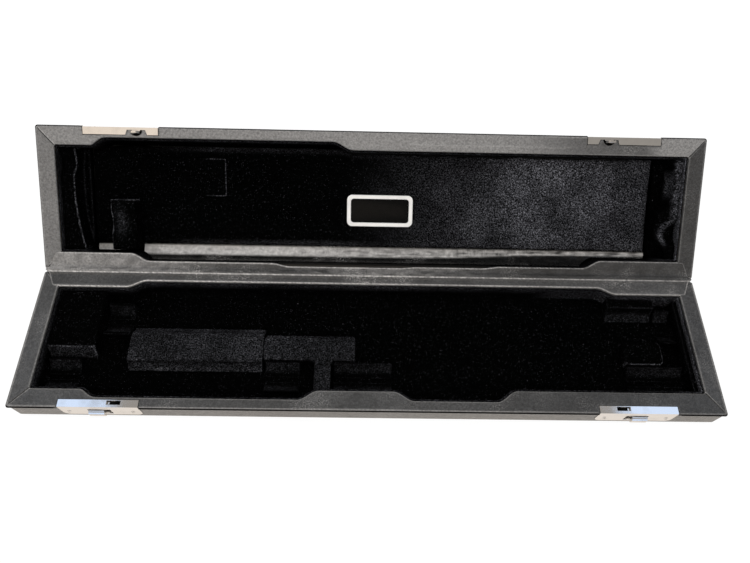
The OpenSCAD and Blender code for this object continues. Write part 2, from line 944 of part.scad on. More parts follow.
// Thumb piece outside, neck through the window and carrier plate behind the flange
module slider() {
    u0 = window_u0 + window_play;
    u1 = window_u1 - slide_travel - window_play;
    out = -plate_proud - slide_clear;
    block(u0 - carrier_lap, u1 + carrier_lap, carrier_v0, carrier_v0 + carrier_t,
        tray_h - window_drop1 - button_edge, tray_h - bolt_top - bolt_h);
    block(u0 + neck_inset, u1 - neck_inset, out, carrier_v0 + seat_clear,
        tray_h - window_drop1 + neck_drop, tray_h - window_drop0 - neck_drop);
    translate([u0, out, 0]) rotate([90, 0, 90]) linear_extrude(u1 - u0) thumb_profile();
}

// Section of the thumb piece: a ledge with a hollowed top
module thumb_profile() {
    e = button_edge;
    z0 = tray_h - window_drop1 + e;
    z1 = tray_h - window_drop0 - e;
    difference() {
        polygon([[0, z0 + e], [-button_out + e, z0], [-button_out, z0 + 2 * e],
            [-button_out, z1 - button_out], [0, z1]]);
        translate([-button_out, z1 + button_hollow_r - 2 * e]) circle(button_hollow_r);
    }
}

module bolt() {
    block(window_u0 - 1, slot_u0 + 1.4, bolt_v0, bolt_v1,
        tray_h - bolt_top - bolt_h, tray_h - bolt_top);
    block(window_u0 - 1, window_u1 - slide_travel, carrier_v0, bolt_v0,
        tray_h - bolt_top - bolt_h, tray_h - bolt_top);
}

// Leaf spring on the pocket's rear wall with a bump that rubs on the bolt
spring_t = 0.3;
spring_w = 2.9;
spring_drop = 1.6;
spring_inset = 1;
bump_u = window_u0 + 6;
bump_r = 0.25;
module detent() {
    v = pocket_v1 - spring_t;
    z1 = tray_h - spring_drop;
    block(pocket_u0 + spring_inset, slot_u0 - spring_inset, v, pocket_v1, z1 - spring_w, z1);
    translate([bump_u, v, z1 - spring_w]) cylinder(h = spring_w, r = bump_r);
}

notch_u0 = 28;
notch_u1 = 39.5;
notch_v = 1.4;

notch_flare = 1.6;

// The lid's plate with the notch round its hook
module notched_blank(h) {
    difference() {
        plate_blank(h);
        translate([0, 0, h - leather_t]) linear_extrude(plate_t + 1)
            polygon([[notch_u0, notch_v], [notch_u1, notch_v],
                [notch_u1 + notch_flare, plate_rim_d + 1],
                [notch_u0 - notch_flare, plate_rim_d + 1]]);
    }
}

module lid_plate() {
    difference() {
        notched_blank(lid_h);
        plate_screw(lid_h);
    }
}

// Clearance bored in the lid's rim behind the hook
hook_pocket_r = 3.85;
hook_pocket_before = 0.1;
hook_pocket_depth = 4;
module hook_pocket(h) {
    translate([(barb_u0 + hook_u1) / 2, notch_v - hook_pocket_before, h - hook_pocket_depth])
        cylinder(h = hook_pocket_depth + 1, r = hook_pocket_r);
}

// Catch that hangs from the lid's plate, with a barb for the bolt
module hook() {
    tip_z = lid_h + rim_gap + hook_drop;
    barb_z = lid_h + rim_gap + barb_drop;
    block(barb_u0, hook_u1, notch_v, hook_v1, lid_h - leather_t, lid_h + plate_proud);
    translate([0, hook_v1, 0]) rotate([90, 0, 0]) linear_extrude(hook_v1 - hook_v0)
        polygon([[shank_u0, lid_h], [shank_u0, barb_z], [barb_u0, barb_z],
            [barb_u0, barb_z + 1], [barb_u0 + 1.8, tip_z], [hook_u1 - 0.6, tip_z],
            [hook_u1, tip_z - 0.6], [hook_u1, lid_h]]);
}

module left_latch_plate() {
    color(metal) tray_place() latch_place(false) latch_plate();
}

module right_latch_plate() {
    color(metal) tray_place() latch_place(true) latch_plate();
}

module left_slider() {
    color(metal) tray_place() latch_place(false) slider();
}

module right_slider() {
    color(metal) tray_place() latch_place(true) slider();
}

module left_bolt() {
    color(steel) tray_place() latch_place(false) bolt();
}

module right_bolt() {
    color(steel) tray_place() latch_place(true) bolt();
}

module left_lid_plate() {
    color(metal) lid_place() latch_place(false) lid_plate();
}

module right_lid_plate() {
    color(metal) lid_place() latch_place(true) lid_plate();
}

module left_hook() {
    color(steel) lid_place() latch_place(false) hook();
}

module right_hook() {
    color(steel) lid_place() latch_place(true) hook();
}

module detent_springs() {
    color(steel) tray_place() both_latches() detent();
}

module tray_latch_screws() {
    color(metal) tray_place() both_latches() {
        plate_screw(tray_h);
        plate_screw_heads(tray_h);
    }
}

module lid_latch_screws() {
    color(metal) lid_place() both_latches() {
        plate_screw(lid_h);
        plate_screw_heads(lid_h);
    }
    color(steel) lid_place() leaf_screws(lid_h);
}

tray_bottom_board();
tray_front_rail();
tray_rear_rail();
tray_left_end();
tray_right_end();
tray_bottom_leather();
tray_side_leather();
tray_rim_leather();
tray_hinge_leather();
tray_wall_plush();
tray_bottom_plush();
tray_left_block();
foot_ridge();
centre_t_block();
barrel_divider();
barrel_rear_block();
right_end_pad();
tenon_saddle();
barrel_saddle();
foot_left_saddle();
foot_right_saddle();
head_left_saddle();
head_right_saddle();
lid_top_board();
lid_front_rail();
lid_rear_rail();
lid_left_end();
lid_right_end();
lid_top_leather();
lid_side_leather();
lid_rim_leather();
lid_hinge_leather();
lid_wall_plush();
lid_inner_plush();
lid_panel_board();
lid_panel_cushion();
lid_rear_cove();
lid_left_block();
lid_right_block();
tenon_hold_down();
foot_pad();
nameplate_frame();
nameplate_field();
hinge_tray_leaf();
hinge_lid_leaf();
hinge_pin();
hinge_screws();
left_latch_plate();
left_slider();
left_bolt();
left_lid_plate();
left_hook();
right_latch_plate();
right_slider();
right_bolt();
right_lid_plate();
right_hook();
detent_springs();
tray_latch_screws();
lid_latch_screws();
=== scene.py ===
"""Looks of the hard flute case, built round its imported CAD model.

Sizes in this file are in millimetres, as on a drawing, until a mesh is made: MM turns them into
metres. Inside each half, x runs from the left end, v from the front edge and z from the outer face.
"""
import json
from math import acos, asin, atan2, cos, exp, hypot, pi, radians, sin, sqrt, tanh

import bmesh
import bpy
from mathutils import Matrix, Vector, noise

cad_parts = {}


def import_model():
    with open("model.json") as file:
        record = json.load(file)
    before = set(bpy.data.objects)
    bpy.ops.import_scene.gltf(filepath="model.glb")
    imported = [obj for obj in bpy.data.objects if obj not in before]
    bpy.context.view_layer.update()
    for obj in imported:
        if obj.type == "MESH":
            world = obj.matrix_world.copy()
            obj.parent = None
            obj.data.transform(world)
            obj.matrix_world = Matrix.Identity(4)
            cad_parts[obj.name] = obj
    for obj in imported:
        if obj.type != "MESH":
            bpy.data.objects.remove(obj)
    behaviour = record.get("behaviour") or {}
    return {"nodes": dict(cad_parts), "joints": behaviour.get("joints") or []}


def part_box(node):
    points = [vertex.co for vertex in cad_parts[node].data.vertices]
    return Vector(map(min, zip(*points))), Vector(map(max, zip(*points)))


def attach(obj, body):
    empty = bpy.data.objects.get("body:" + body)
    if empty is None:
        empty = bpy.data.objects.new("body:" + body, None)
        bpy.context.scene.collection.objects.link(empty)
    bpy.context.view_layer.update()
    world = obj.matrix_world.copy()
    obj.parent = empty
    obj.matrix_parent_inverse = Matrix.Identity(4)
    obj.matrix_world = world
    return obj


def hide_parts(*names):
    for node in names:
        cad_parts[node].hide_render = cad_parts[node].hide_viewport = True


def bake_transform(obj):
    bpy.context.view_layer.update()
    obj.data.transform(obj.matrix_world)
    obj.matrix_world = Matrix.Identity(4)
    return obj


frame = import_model()
scene = bpy.context.scene
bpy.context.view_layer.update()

MM = 0.001

# ---- Small maths ----


def lerp(a, b, t):
    return a + (b - a) * t


def even(a, b, n):
    """From a to b in n even steps."""
    return [lerp(a, b, i / n) for i in range(n + 1)]


def ease(value, low, high):
    """From 0 at low to 1 at high, with soft ends."""
    t = min(max((value - low) / (high - low), 0.0), 1.0)
    return t * t * (3 - 2 * t)


def half_cosine(part, whole=1):
    """From 0 to 1 while part goes from 0 to the whole, slow at both ends."""
    return (1 - cos(pi * part / whole)) / 2


def bell(x, middle, width):
    """1 at the middle, falling to 0 on both sides."""
    return exp(-((x - middle) / width) ** 2)


def quarter_turn(steps, first=0):
    """Angles in even steps up to a right angle, from the first step on."""
    return [pi / 2 * k / steps for k in range(first, steps + 1)]


def waver(x, y, z):
    """Smooth noise between about -1 and 1, one cell in each unit."""
    return noise.noise(Vector((x, y, z)))


def circle(x, y, r, sides=32):
    turn = [2 * pi * k / sides for k in range(sides)]
    return [(x + r * cos(a), y + r * sin(a)) for a in turn]


# ---- Sizes from the frame ----

HINGE = next(j for j in frame["joints"] if j["name"] == "lid_hinge")
BOARD_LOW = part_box("tray_bottom_leather")[0]
RIM_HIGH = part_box("tray_rim_leather")[1]
SIDE_LOW, SIDE_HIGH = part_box("tray_side_leather")
CASE_L = (SIDE_HIGH.x - SIDE_LOW.x) / MM
CASE_D = 2 * HINGE["pos_m"][1] / MM
TRAY_H = RIM_HIGH.z / MM
AXIS_Z = HINGE["pos_m"][2] / MM
EDGE_R = (BOARD_LOW.x - SIDE_LOW.x) / MM

RIM_GAP = 2 * (AXIS_Z - TRAY_H)
LID_H = 28.1
CORNER_R = 1.7
LEATHER_T = 1.0
LID_REACH = LID_H + RIM_GAP / 2 - EDGE_R
LEAN = acos((AXIS_Z - EDGE_R) / hypot(LID_REACH, EDGE_R)) - atan2(EDGE_R, LID_REACH)
LID_OPEN = pi - LEAN

# Rim widths and the stations where they change
RIM_LEFT = 10.4
RIM_RIGHT = 10.0
RIM_FRONT = 11.3
RIM_REAR = 11.7
STEP_L = 13.0
INNER_R = 1.2
RIGHT_X = CASE_L - RIM_RIGHT


class Steps:
    """A rim's width along the case, which eases to the next value from each station on.

    A start above 1 makes the first step set off quickly.
    """

    def __init__(self, first, *steps, start=1.0):
        self.first = first
        self.steps = steps
        self.start = start

    def __call__(self, x):
        width = self.first
        for station, value in self.steps:
            t = min(max((x - station) / STEP_L, 0.0), 1.0)
            if station == self.steps[0][0]:
                t = 1 - (1 - t) ** self.start
            width += (value - width) * half_cosine(t)
        return width

    def slope(self, x):
        return self(x + 0.5) - self(x - 0.5)


class Half:
    """The tray or the lid: its height, its rims and where its points lie."""

    def __init__(self, name, h, floor_z, front, rear, point):
        self.name = name
        self.h = h
        self.floor_z = floor_z
        self.front = front
        self.rear = rear
        self.point = point
        self.origin = point(0, 0, 0)
        self.axes = [(point(*end) - self.origin).normalized()
                     for end in ((1, 0, 0), (0, 1, 0), (0, 0, 1))]

    def place_of(self, co):
        """Where a point in metres lies in this half: its x, v and z."""
        return [(co - self.origin).dot(axis) / MM for axis in self.axes]


def tray_point(x, v, z):
    return Vector((x - CASE_L / 2, v - CASE_D / 2, z)) * MM


def lid_point(x, v, z):
    """Turns a point of the shut lid about the hinge to where the lid stands at rest."""
    y = v - CASE_D
    up = LID_H + RIM_GAP / 2 - z
    c, s = cos(-LID_OPEN), sin(-LID_OPEN)
    return Vector((x - CASE_L / 2, CASE_D / 2 + y * c - up * s, AXIS_Z + y * s + up * c)) * MM


TRAY = Half("tray", TRAY_H, 5.0,
            Steps(RIM_FRONT, (40.5, 6.2), (170.5, 12.0), (228.5, 6.2), (CASE_L - 138.5, 13.2),
                  start=1.7),
            Steps(RIM_REAR, (54.5, 7.0), (CASE_L - 65.5, RIM_REAR)), tray_point)
LID = Half("lid", LID_H, 4.5,
           Steps(RIM_FRONT, (33.5, 6.2), (188.5, RIM_FRONT), start=1.9),
           Steps(RIM_REAR, (55.5, 6.6), (148, 4.6), (233, 5.4), (288, 6.6),
                 (CASE_L - 74.5, RIM_REAR)), lid_point)

# ---- Mesh helpers ----


def new_object(name, data):
    made = bpy.data.objects.new(name, data)
    scene.collection.objects.link(made)
    return made


def copy_of(node, ending):
    return new_object(node + ending, frame["nodes"][node].data.copy())


def set_wear_and_light(mesh, wear):
    mesh.attributes.new("wear", "FLOAT", "POINT").data.foreach_set("value", wear)


def mesh_object(name, points, faces, wear=None):
    """An object from points in metres and faces, with its normals outwards."""
    mesh = bpy.data.meshes.new(name)
    mesh.from_pydata(points, [], faces)
    if wear is not None:
        set_wear_and_light(mesh, wear)
    tidy = bmesh.new()
    tidy.from_mesh(mesh)
    bmesh.ops.recalc_face_normals(tidy, faces=tidy.faces)
    tidy.to_mesh(mesh)
    tidy.free()
    return new_object(name, mesh)


def apply_modifiers(piece):
    """Turns a piece's modifiers into its mesh."""
    graph = bpy.context.evaluated_depsgraph_get()
    mesh = bpy.data.meshes.new_from_object(piece.evaluated_get(graph))
    piece.modifiers.clear()
    piece.data = mesh
    return piece


def smooth(piece, degrees=35):
    piece.data.shade_smooth()
    piece.data.set_sharp_from_angle(angle=radians(degrees))
    return piece


def cut(piece, cutters):
    """Takes the cutters' volumes out of a piece."""
    for cutter in cutters:
        hole = piece.modifiers.new("cut", "BOOLEAN")
        hole.operation = "DIFFERENCE"
        hole.solver = "MANIFOLD"
        hole.object = cutter
    apply_modifiers(piece)
    for cutter in cutters:
        bpy.data.objects.remove(cutter)
    return piece


def bridge(loops, count):
    """Quads between each loop of points and the next."""
    faces = []
    for i in range(loops - 1):
        for k in range(count):
            a, b = i * count + k, i * count + (k + 1) % count
            faces.append((a, b, b + count, a + count))
    return faces


def grid_faces(rows, columns):
    return [(i * columns + k, i * columns + k + 1, (i + 1) * columns + k + 1, (i + 1) * columns + k)
            for i in range(rows - 1) for k in range(columns - 1)]


def tube_faces(loops, count):
    """Quads along the loops, with the first and the last loop filled."""
    last = (loops - 1) * count
    return bridge(loops, count) + [tuple(range(count)), tuple(range(last, last + count))]


def skirted(name, points, tones, rows, columns, foot):
    """A grid whose rim drops to foot(row, column), closed below."""
    top_n = len(points)
    rim = list(range(columns)) + [i * columns + columns - 1 for i in range(1, rows)]
    rim += [top_n - 2 - k for k in range(columns - 1)]
    rim += [i * columns for i in range(rows - 2, 0, -1)]
    n = len(rim)
    points = points + [foot(*divmod(index, columns)) for index in rim]
    faces = grid_faces(rows, columns)
    faces += [(rim[j], rim[(j + 1) % n], top_n + (j + 1) % n, top_n + j) for j in range(n)]
    faces.append(tuple(range(top_n, top_n + n)))
    return smooth(mesh_object(name, points, faces, tones + [0.0] * n), 60)


def prism(name, outline, place):
    """A closed block from an outline, where place(point, end) gives the two ends' points."""
    n = len(outline)
    points = [place(p, end) for end in (0, 1) for p in outline]
    faces = [tuple(range(n)), tuple(range(n, 2 * n))] + bridge(2, n)
    return mesh_object(name, points, faces)


def upright(name, half, plan, z_ends):
    """A block with a plan of (x, v) points between two heights."""
    return prism(name, plan, lambda p, end: half.point(p[0], p[1], z_ends[end]))


def rod(name, half, x_ends, v, z, r):
    return prism(name, circle(v, z, r), lambda p, end: half.point(x_ends[end], p[0], p[1]))


# ---- Loops round a half's rim ----

LONG_N = 240
SHORT_N = 48
ARC_N = 8


def arc(cx, cv, r, start):
    """Points inside a quarter turn that starts at that angle."""
    angles = [radians(start + 90 * k / ARC_N) for k in range(1, ARC_N)]
    return [(cx + r * cos(a), cv + r * sin(a)) for a in angles]


def ring(sides, corners, r):
    """Joins the points of the front, right, rear and left sides round their corners."""
    loop = []
    for k, (side, corner) in enumerate(zip(sides, corners)):
        loop += side + arc(*corner, r, 90 * k - 90)
    return loop


def outer_loop(d):
    """The case's plan, moved inwards by d."""
    c = max(CORNER_R + min(d, 0.0), d + 0.3)
    far_x, far_v = CASE_L - c, CASE_D - c
    sides = ([(x, d) for x in even(c, far_x, LONG_N)],
             [(CASE_L - d, v) for v in even(c, far_v, SHORT_N)],
             [(x, CASE_D - d) for x in even(far_x, c, LONG_N)],
             [(d, v) for v in even(far_v, c, SHORT_N)])
    return ring(sides, [(far_x, c), (far_x, far_v), (c, far_v), (c, c)], c - d)


def inner_loop(half, e):
    """The rim's inner edge, moved by e into the rim."""
    x0, x1 = RIM_LEFT + INNER_R, RIGHT_X - INNER_R
    front0, front1 = [half.front(x) + INNER_R for x in (x0, x1)]
    rear0, rear1 = [CASE_D - half.rear(x) - INNER_R for x in (x0, x1)]
    sides = ([(x, half.front(x) - e * hypot(1, half.front.slope(x)))
              for x in even(x0, x1, LONG_N)],
             [(RIGHT_X + e, v) for v in even(front1, rear1, SHORT_N)],
             [(x, CASE_D - half.rear(x) + e * hypot(1, half.rear.slope(x)))
              for x in even(x1, x0, LONG_N)],
             [(RIM_LEFT - e, v) for v in even(rear0, front0, SHORT_N)])
    return ring(sides, [(x1, front1), (x1, rear1), (x0, rear0), (x0, front0)], INNER_R + e)


LOOP_N = 2 * (LONG_N + SHORT_N + 2) + 4 * (ARC_N - 1)
CORNER_COLUMNS = [(i // 2 + 1) * LONG_N + (i + 1) // 2 * SHORT_N + i * ARC_N + ARC_N // 2
                  for i in range(4)]


def past_seam(column):
    """How many columns a column lies past the nearest mitred corner; below 0 it lies ahead."""
    return min(((column - c + LOOP_N // 2) % LOOP_N - LOOP_N // 2 for c in CORNER_COLUMNS), key=abs)


# ---- Materials ----
# Each socket knows its node tree, so a new node goes where its first input comes from


def shader_node(tree, kind, inputs=(), **settings):
    """A node with its settings and inputs; an input is a number, a colour or another socket."""
    made = tree.nodes.new("ShaderNode" + kind)
    for key, value in settings.items():
        setattr(made, key, value)
    for key, value in dict(inputs).items():
        if isinstance(value, bpy.types.NodeSocket):
            tree.links.new(value, made.inputs[key])
        else:
            made.inputs[key].default_value = value
    return made


def new_material(name, **sockets):
    material = bpy.data.materials.new(name)
    material.use_nodes = True
    tree = material.node_tree
    bsdf = tree.nodes["Principled BSDF"]
    for key, value in sockets.items():
        bsdf.inputs[key.replace("_", " ")].default_value = value
    return material, tree, bsdf


def plug(bsdf, **sockets):
    """Links each socket to the shader's input of that name."""
    for key, socket in sockets.items():
        bsdf.id_data.links.new(socket, bsdf.inputs[key.replace("_", " ")])


def coordinates(tree):
    return shader_node(tree, "TexCoord").outputs["Object"]


def cloud(where, scale, detail=2.0, roughness=0.5):
    """Smooth noise with this many cells in a metre."""
    made = shader_node(where.id_data, "TexNoise", {
        "Vector": where, "Scale": scale, "Detail": detail, "Roughness": roughness})
    return made.outputs["Fac"]


def cells(where, scale):
    made = shader_node(where.id_data, "TexVoronoi", {"Vector": where, "Scale": scale})
    return made.outputs["Distance"]


def span(value, low, high, to_low=0.0, to_high=1.0):
    """Maps a value's range from low to high onto another, and stays in it."""
    made = shader_node(value.id_data, "MapRange", {
        "Value": value, "From Min": low, "From Max": high, "To Min": to_low, "To Max": to_high})
    return made.outputs["Result"]


def maths(operation, a, b):
    return shader_node(a.id_data, "Math", {0: a, 1: b}, operation=operation).outputs[0]


def blended(factor, a, b):
    """A colour between two; its sockets follow those for numbers and vectors."""
    made = shader_node(factor.id_data, "Mix", {"Factor": factor, 6: a, 7: b}, data_type="RGBA")
    return made.outputs[2]


def bumped(bsdf, height, strength, distance):
    made = shader_node(bsdf.id_data, "Bump", {
        "Height": height, "Strength": strength, "Distance": distance})
    plug(bsdf, Normal=made.outputs["Normal"])


def grey(level, warmth=0.0):
    return (level * (1 + warmth), level, level * (1 - warmth), 1.0)


def leather_material(name, dark, light, worn_and_lit, roughness, grain, breakup=(800, 0.4), gloss=0.6):
    """Pebbled leather with soft blotches and scuffs: the wear attribute makes it paler,
    for wear and for painted highlights and painted reflection.

    Below 0 it makes the leather dark: painted shade.
    """
    material, tree, bsdf = new_material(
        name, Specular_IOR_Level=gloss, Coat_Weight=0.7 * gloss, Coat_Roughness=0.3)
    where = coordinates(tree)
    blotch = span(cloud(where, 45, 3), 0.35, 0.7, 0.0, 0.5)
    mottle = span(cloud(where, 620, 3, 0.6), 0.35, 0.65, 0.0, 0.6)
    colour = blended(maths("ADD", blotch, mottle), dark, light)
    pebbles = cells(where, 1050)
    hollow = span(pebbles, 0.25, 0.75, 0.0, 0.55)
    colour = blended(hollow, colour, grey(0.012))
    rubbed = span(cloud(where, 38, 2), 0.52, 0.72)
    specks = span(cloud(where, 1300, 2), 0.5, 0.68, 0.0, 0.5)
    colour = blended(maths("MULTIPLY", rubbed, specks), colour, worn_and_lit)
    wear = shader_node(tree, "Attribute", attribute_name="wear").outputs["Fac"]
    scale, least = breakup
    broken = span(cloud(where, scale, 3), 0.3, 0.7, least, 1.0)
    # The attribute blends in the pale colour for wear and painted highlights, and near-black below
    # 0 for painted shade
    shown = shader_node(tree, "Clamp", {"Value": maths("MULTIPLY", wear, broken)})
    colour = blended(shown.outputs["Result"], colour, worn_and_lit)
    colour = blended(span(wear, -1, 0, 1, 0), colour, grey(0.003))
    rough = span(cloud(where, 260, 3), 0.3, 0.7, roughness - 0.07, roughness + 0.09)
    plug(bsdf, Base_Color=colour, Roughness=rough)
    creases = cloud(where, 420, 5, 0.6)
    height = maths("SUBTRACT", maths("MULTIPLY", creases, 0.7), pebbles)
    bumped(bsdf, height, grain, 0.0004)
    return material


def plush_material():
    """Short black pile: stray lit fibres, and painted sheen, a paler brushed nap, where the wear
    attribute says.
    """
    material, tree, bsdf = new_material(
        "plush", Roughness=0.95, Specular_IOR_Level=0.02, Sheen_Roughness=0.4,
        Sheen_Tint=(0.75, 0.78, 0.9, 1.0))
    where = coordinates(tree)
    painted_sheen = shader_node(tree, "Attribute", attribute_name="wear").outputs["Fac"]
    tufts = span(cloud(where, 1150, 3, 0.75), 0.38, 0.74)
    tufts = maths("POWER", tufts, 2.2)
    brushed = span(cloud(where, 34, 4, 0.6), 0.36, 0.66, 0.35, 1.0)
    # Painted sheen: the pile turns pale where the attribute says
    lit = maths("MULTIPLY", maths("MULTIPLY", tufts, brushed), painted_sheen)
    stray = span(cloud(where, 2100, 1), 0.71, 0.84, 0.0, 0.35)
    pale = maths("MAXIMUM", lit, stray)
    plug(bsdf, Base_Color=blended(pale, grey(0.0004), (0.52, 0.52, 0.575, 1.0)),
         Sheen_Weight=span(lit, 0, 1, 0.0, 0.10))
    pile = maths("ADD", cloud(where, 2200, 2), cloud(where, 700, 2))
    bumped(bsdf, pile, 0.7, 0.0006)
    return material


def metal_material(name, colour, roughness, brushed, metallic=1.0):
    """Metal with hairlines along the case and faint smudges."""
    material, tree, bsdf = new_material(name, Metallic=metallic)
    where = coordinates(tree)
    stretched = shader_node(tree, "Mapping", {"Vector": where, "Scale": (30, 900, 900)})
    hairlines = cloud(stretched.outputs["Vector"], 2.0, 3)
    smudge = span(cloud(where, 120, 3), 0.45, 0.75)
    dulled = tuple(c * 0.9 for c in colour[:3]) + (1.0,)
    plug(bsdf, Base_Color=blended(smudge, colour, dulled),
         Roughness=span(smudge, 0, 1, roughness, roughness + 0.08))
    bumped(bsdf, hairlines, brushed, 0.0001)
    return material


def wood_material(name, dark, light):
    """Ply with its grain along the case."""
    material, tree, bsdf = new_material(name, Roughness=0.7, Specular_IOR_Level=0.2)
    where = coordinates(tree)
    stretched = shader_node(tree, "Mapping", {"Vector": where, "Scale": (8, 120, 120)})
    rings = cloud(stretched.outputs["Vector"], 3.0, 5, 0.6)
    plug(bsdf, Base_Color=blended(span(rings, 0.3, 0.7), dark, light))
    bumped(bsdf, rings, 0.3, 0.0003)
    return material


def enamel_material():
    material, tree, bsdf = new_material("enamel", Specular_IOR_Level=0.12)
    where = coordinates(tree)
    dust = span(cloud(where, 2400, 1), 0.68, 0.8)
    plug(bsdf, Base_Color=blended(dust, grey(0.002), grey(0.012)),
         Roughness=span(cloud(where, 300, 2), 0.3, 0.7, 0.2, 0.32))
    bumped(bsdf, cloud(where, 200, 2), 0.1, 0.0002)
    return material


LEATHER = leather_material("case_leather", grey(0.026), grey(0.085), grey(0.36, 0.04), 0.36, 0.8)
SPINE_LEATHER = leather_material("spine_leather", grey(0.028, 0.02), grey(0.088, 0.02),
                                 grey(0.62, 0.05), 0.38, 0.8)
# The cove's leather, painted near-black as shade, with its pale colour for a painted highlight
COVE_PAINTED_LIGHT_LEATHER = leather_material("cove_leather", grey(0.003), grey(0.008), grey(0.62, 0.04),
                                0.26, 0.35, (420, 0.6), 0.15)
# Near-black leather that reflects next to nothing, for the painted shadow under the facing's
# overhang
SHADOW_LEATHER = leather_material("crease_leather", grey(0.002), grey(0.004), grey(0.006),
                                  0.6, 0.3, gloss=0.04)
PLUSH = plush_material()
CHROME = metal_material("chrome", (0.88, 0.87, 0.86, 1.0), 0.07, 0.10)
STEEL = metal_material("steel", (0.62, 0.62, 0.63, 1.0), 0.28, 0.5)
# Near-black metal for the hinge leaves: painted shade where they show under the lid's rear lip
PAINTED_SHADE_STEEL = metal_material("dark_steel", grey(0.045), 0.35, 0.5)
SILVER = metal_material("plate_silver", (0.94, 0.93, 0.91, 1.0), 0.34, 0.3, metallic=0.3)
WOOD = wood_material("wood", (0.42, 0.28, 0.15, 1), (0.62, 0.46, 0.28, 1))
# Near-black wood for painted shade in the hollows where the core shows
PAINTED_SHADE_WOOD = wood_material("stained_wood", grey(0.002), grey(0.006))
ENAMEL = enamel_material()


def finish_piece(piece, material, slot, body, *nodes):
    """Gives a new piece its material and its body, and hides the nodes that it stands for; its slot
    is not used.
    """
    piece.data.materials.clear()
    piece.data.materials.append(material)
    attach(piece, body)
    if nodes:
        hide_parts(*nodes)
    return piece


# ---- Leather covers ----

RIM_IN_R = 0.9
FOLD_W = 0.34
FOLD_H = 0.25
RIM_OUT_R = 1.15
LIP_DEPTH = {"tray": 3.0, "lid": 1.7}
# The facing stands proud of the sides. Its lower lip, painted dark as the shadow under the
# overhang, turns back and meets the side at these depths below the rim
OVERHANG = 0.8
LIP_TURN_D = 1.35
EDGE_LINE_D = 1.9
BELOW_LINE = 0.15
SIDE_ROW_H = 2.5
ROUND_N = 5
# Painted highlights: how pale the inner lip is, and the upper rows of the facing's outer rounding
LIP_HIGHLIGHT = 0.1
EDGE_HIGHLIGHT = 0.65
# Painted shadow: the tone of the rows under the facing's overhang
OVERHANG_SHADOW = -1.0
FACING_CROWN = 0.08


def cover_profile(half):
    """Loops from inside the lip, over the rim, down the side and under: (kind, offset, z, wear and
    painted light).
    """
    h, lip = half.h, LIP_DEPTH[half.name]
    rows = [("in", 0.0, h - lip, 0.0), ("in", 0.0, h - (lip + RIM_IN_R) / 2, LIP_HIGHLIGHT)]
    # The inner rounding is palest at its middle: painted highlight
    rows += [("in", RIM_IN_R * (1 - cos(a)), h - RIM_IN_R * (1 - sin(a)),
              0.5 * sin(2 * a) + LIP_HIGHLIGHT) for a in quarter_turn(ROUND_N)]
    rows += [("rim", w, h + FACING_CROWN * sin(pi * w), 0.0)
             for w in (0.08, 0.2, 0.28, FOLD_W, 0.40, 0.5, 0.75, 0.92)]
    # The outer rounding: painted highlight on its first rows, painted shadow below them
    rows += [("out", RIM_OUT_R * (1 - sin(a)) - OVERHANG, h - RIM_OUT_R * (1 - cos(a)),
              EDGE_HIGHLIGHT if k < 2 else OVERHANG_SHADOW) for k, a in enumerate(quarter_turn(ROUND_N))]
    below = h - EDGE_LINE_D - BELOW_LINE
    rows += [("out", 0.1 - OVERHANG, h - LIP_TURN_D, OVERHANG_SHADOW),
             ("out", 0.0, h - EDGE_LINE_D, OVERHANG_SHADOW), ("out", 0.0, below, 0.0)]
    side_n = round((h - EDGE_LINE_D - EDGE_R) / SIDE_ROW_H)
    rows += [("out", 0.0, z, 0.0) for z in even(below, EDGE_R, side_n)[1:]]
    rows += [("out", EDGE_R * (1 - cos(a)), EDGE_R * (1 - sin(a)), 0.15 * sin(2 * a))
             for a in quarter_turn(2 * ROUND_N, 1)]
    return rows


def row_points(half, kind, offset):
    if kind == "in":
        return inner_loop(half, offset)
    if kind == "out":
        return outer_loop(offset)
    near, far = inner_loop(half, RIM_IN_R), outer_loop(RIM_OUT_R - OVERHANG)
    return [(lerp(a[0], b[0], offset), lerp(a[1], b[1], offset)) for a, b in zip(near, far)]


SEAM_DEPTH = 0.28
SEAM_WEAR = -0.9
# Painted light and shade on each facing of the rim: front, right, rear and left
RIM_PAINTED_LIGHT = {"tray": (0.03, -0.12, 0.02, 0.06), "lid": (0.70, -0.35, 0.30, 0.44)}
# Painted shade on the front facing's right part: where it starts and is full, how dark, and where
# it ends
FRONT_SHADE = {"tray": (265, 345, 0.33, CASE_L), "lid": (285, 370, 0.55, 388)}
SHADE_FADE = 16
# Painted reflection: the sides are paler, as the pale floor mirrored in them
SIDE_PAINTED_REFLECTION = 0.21
# What lies this near the rim's top counts as its facing
TOP_BAND = 1


def side_of(column):
    """Which facing a column lies on, from 0 at the front to 3 at the left."""
    return sum(1 for c in CORNER_COLUMNS if column >= c) % 4


def painted_rim_light(half, column, x):
    side = side_of(column)
    start, full, shade, end = FRONT_SHADE[half.name]
    shaded = shade * ease(x, start, full) * (1 - ease(x, end, end + SHADE_FADE))
    return RIM_PAINTED_LIGHT[half.name][side] - (shaded if side == 0 else 0.0)


def front_fold(half, kind, offset, x, v):
    """The low fold along part of the lid's front facing, from 0 to 1."""
    if half is not LID or kind != "rim" or v > CASE_D / 2:
        return 0.0
    return ease(x, 234, 244) * (1 - ease(x, 330, 352)) * bell(offset, FOLD_W, 0.05)


def seam_sink(kind, column):
    """How far the leather dips at a mitred corner, and how much it swells beside it."""
    if kind == "out":
        return 0.0
    return {0: -SEAM_DEPTH, 1: 0.06, 2: 0.04}.get(abs(past_seam(column)), 0.0)


def seam_tone(column, tone):
    """A mitred seam is a dark line, with a painted highlight on the swell on one side and painted
    shade on the other.
    """
    past = past_seam(column)
    if past == 0:
        return SEAM_WEAR
    if past in (1, 2):
        return tone + 0.5
    return 0.6 * tone if past == -1 else tone


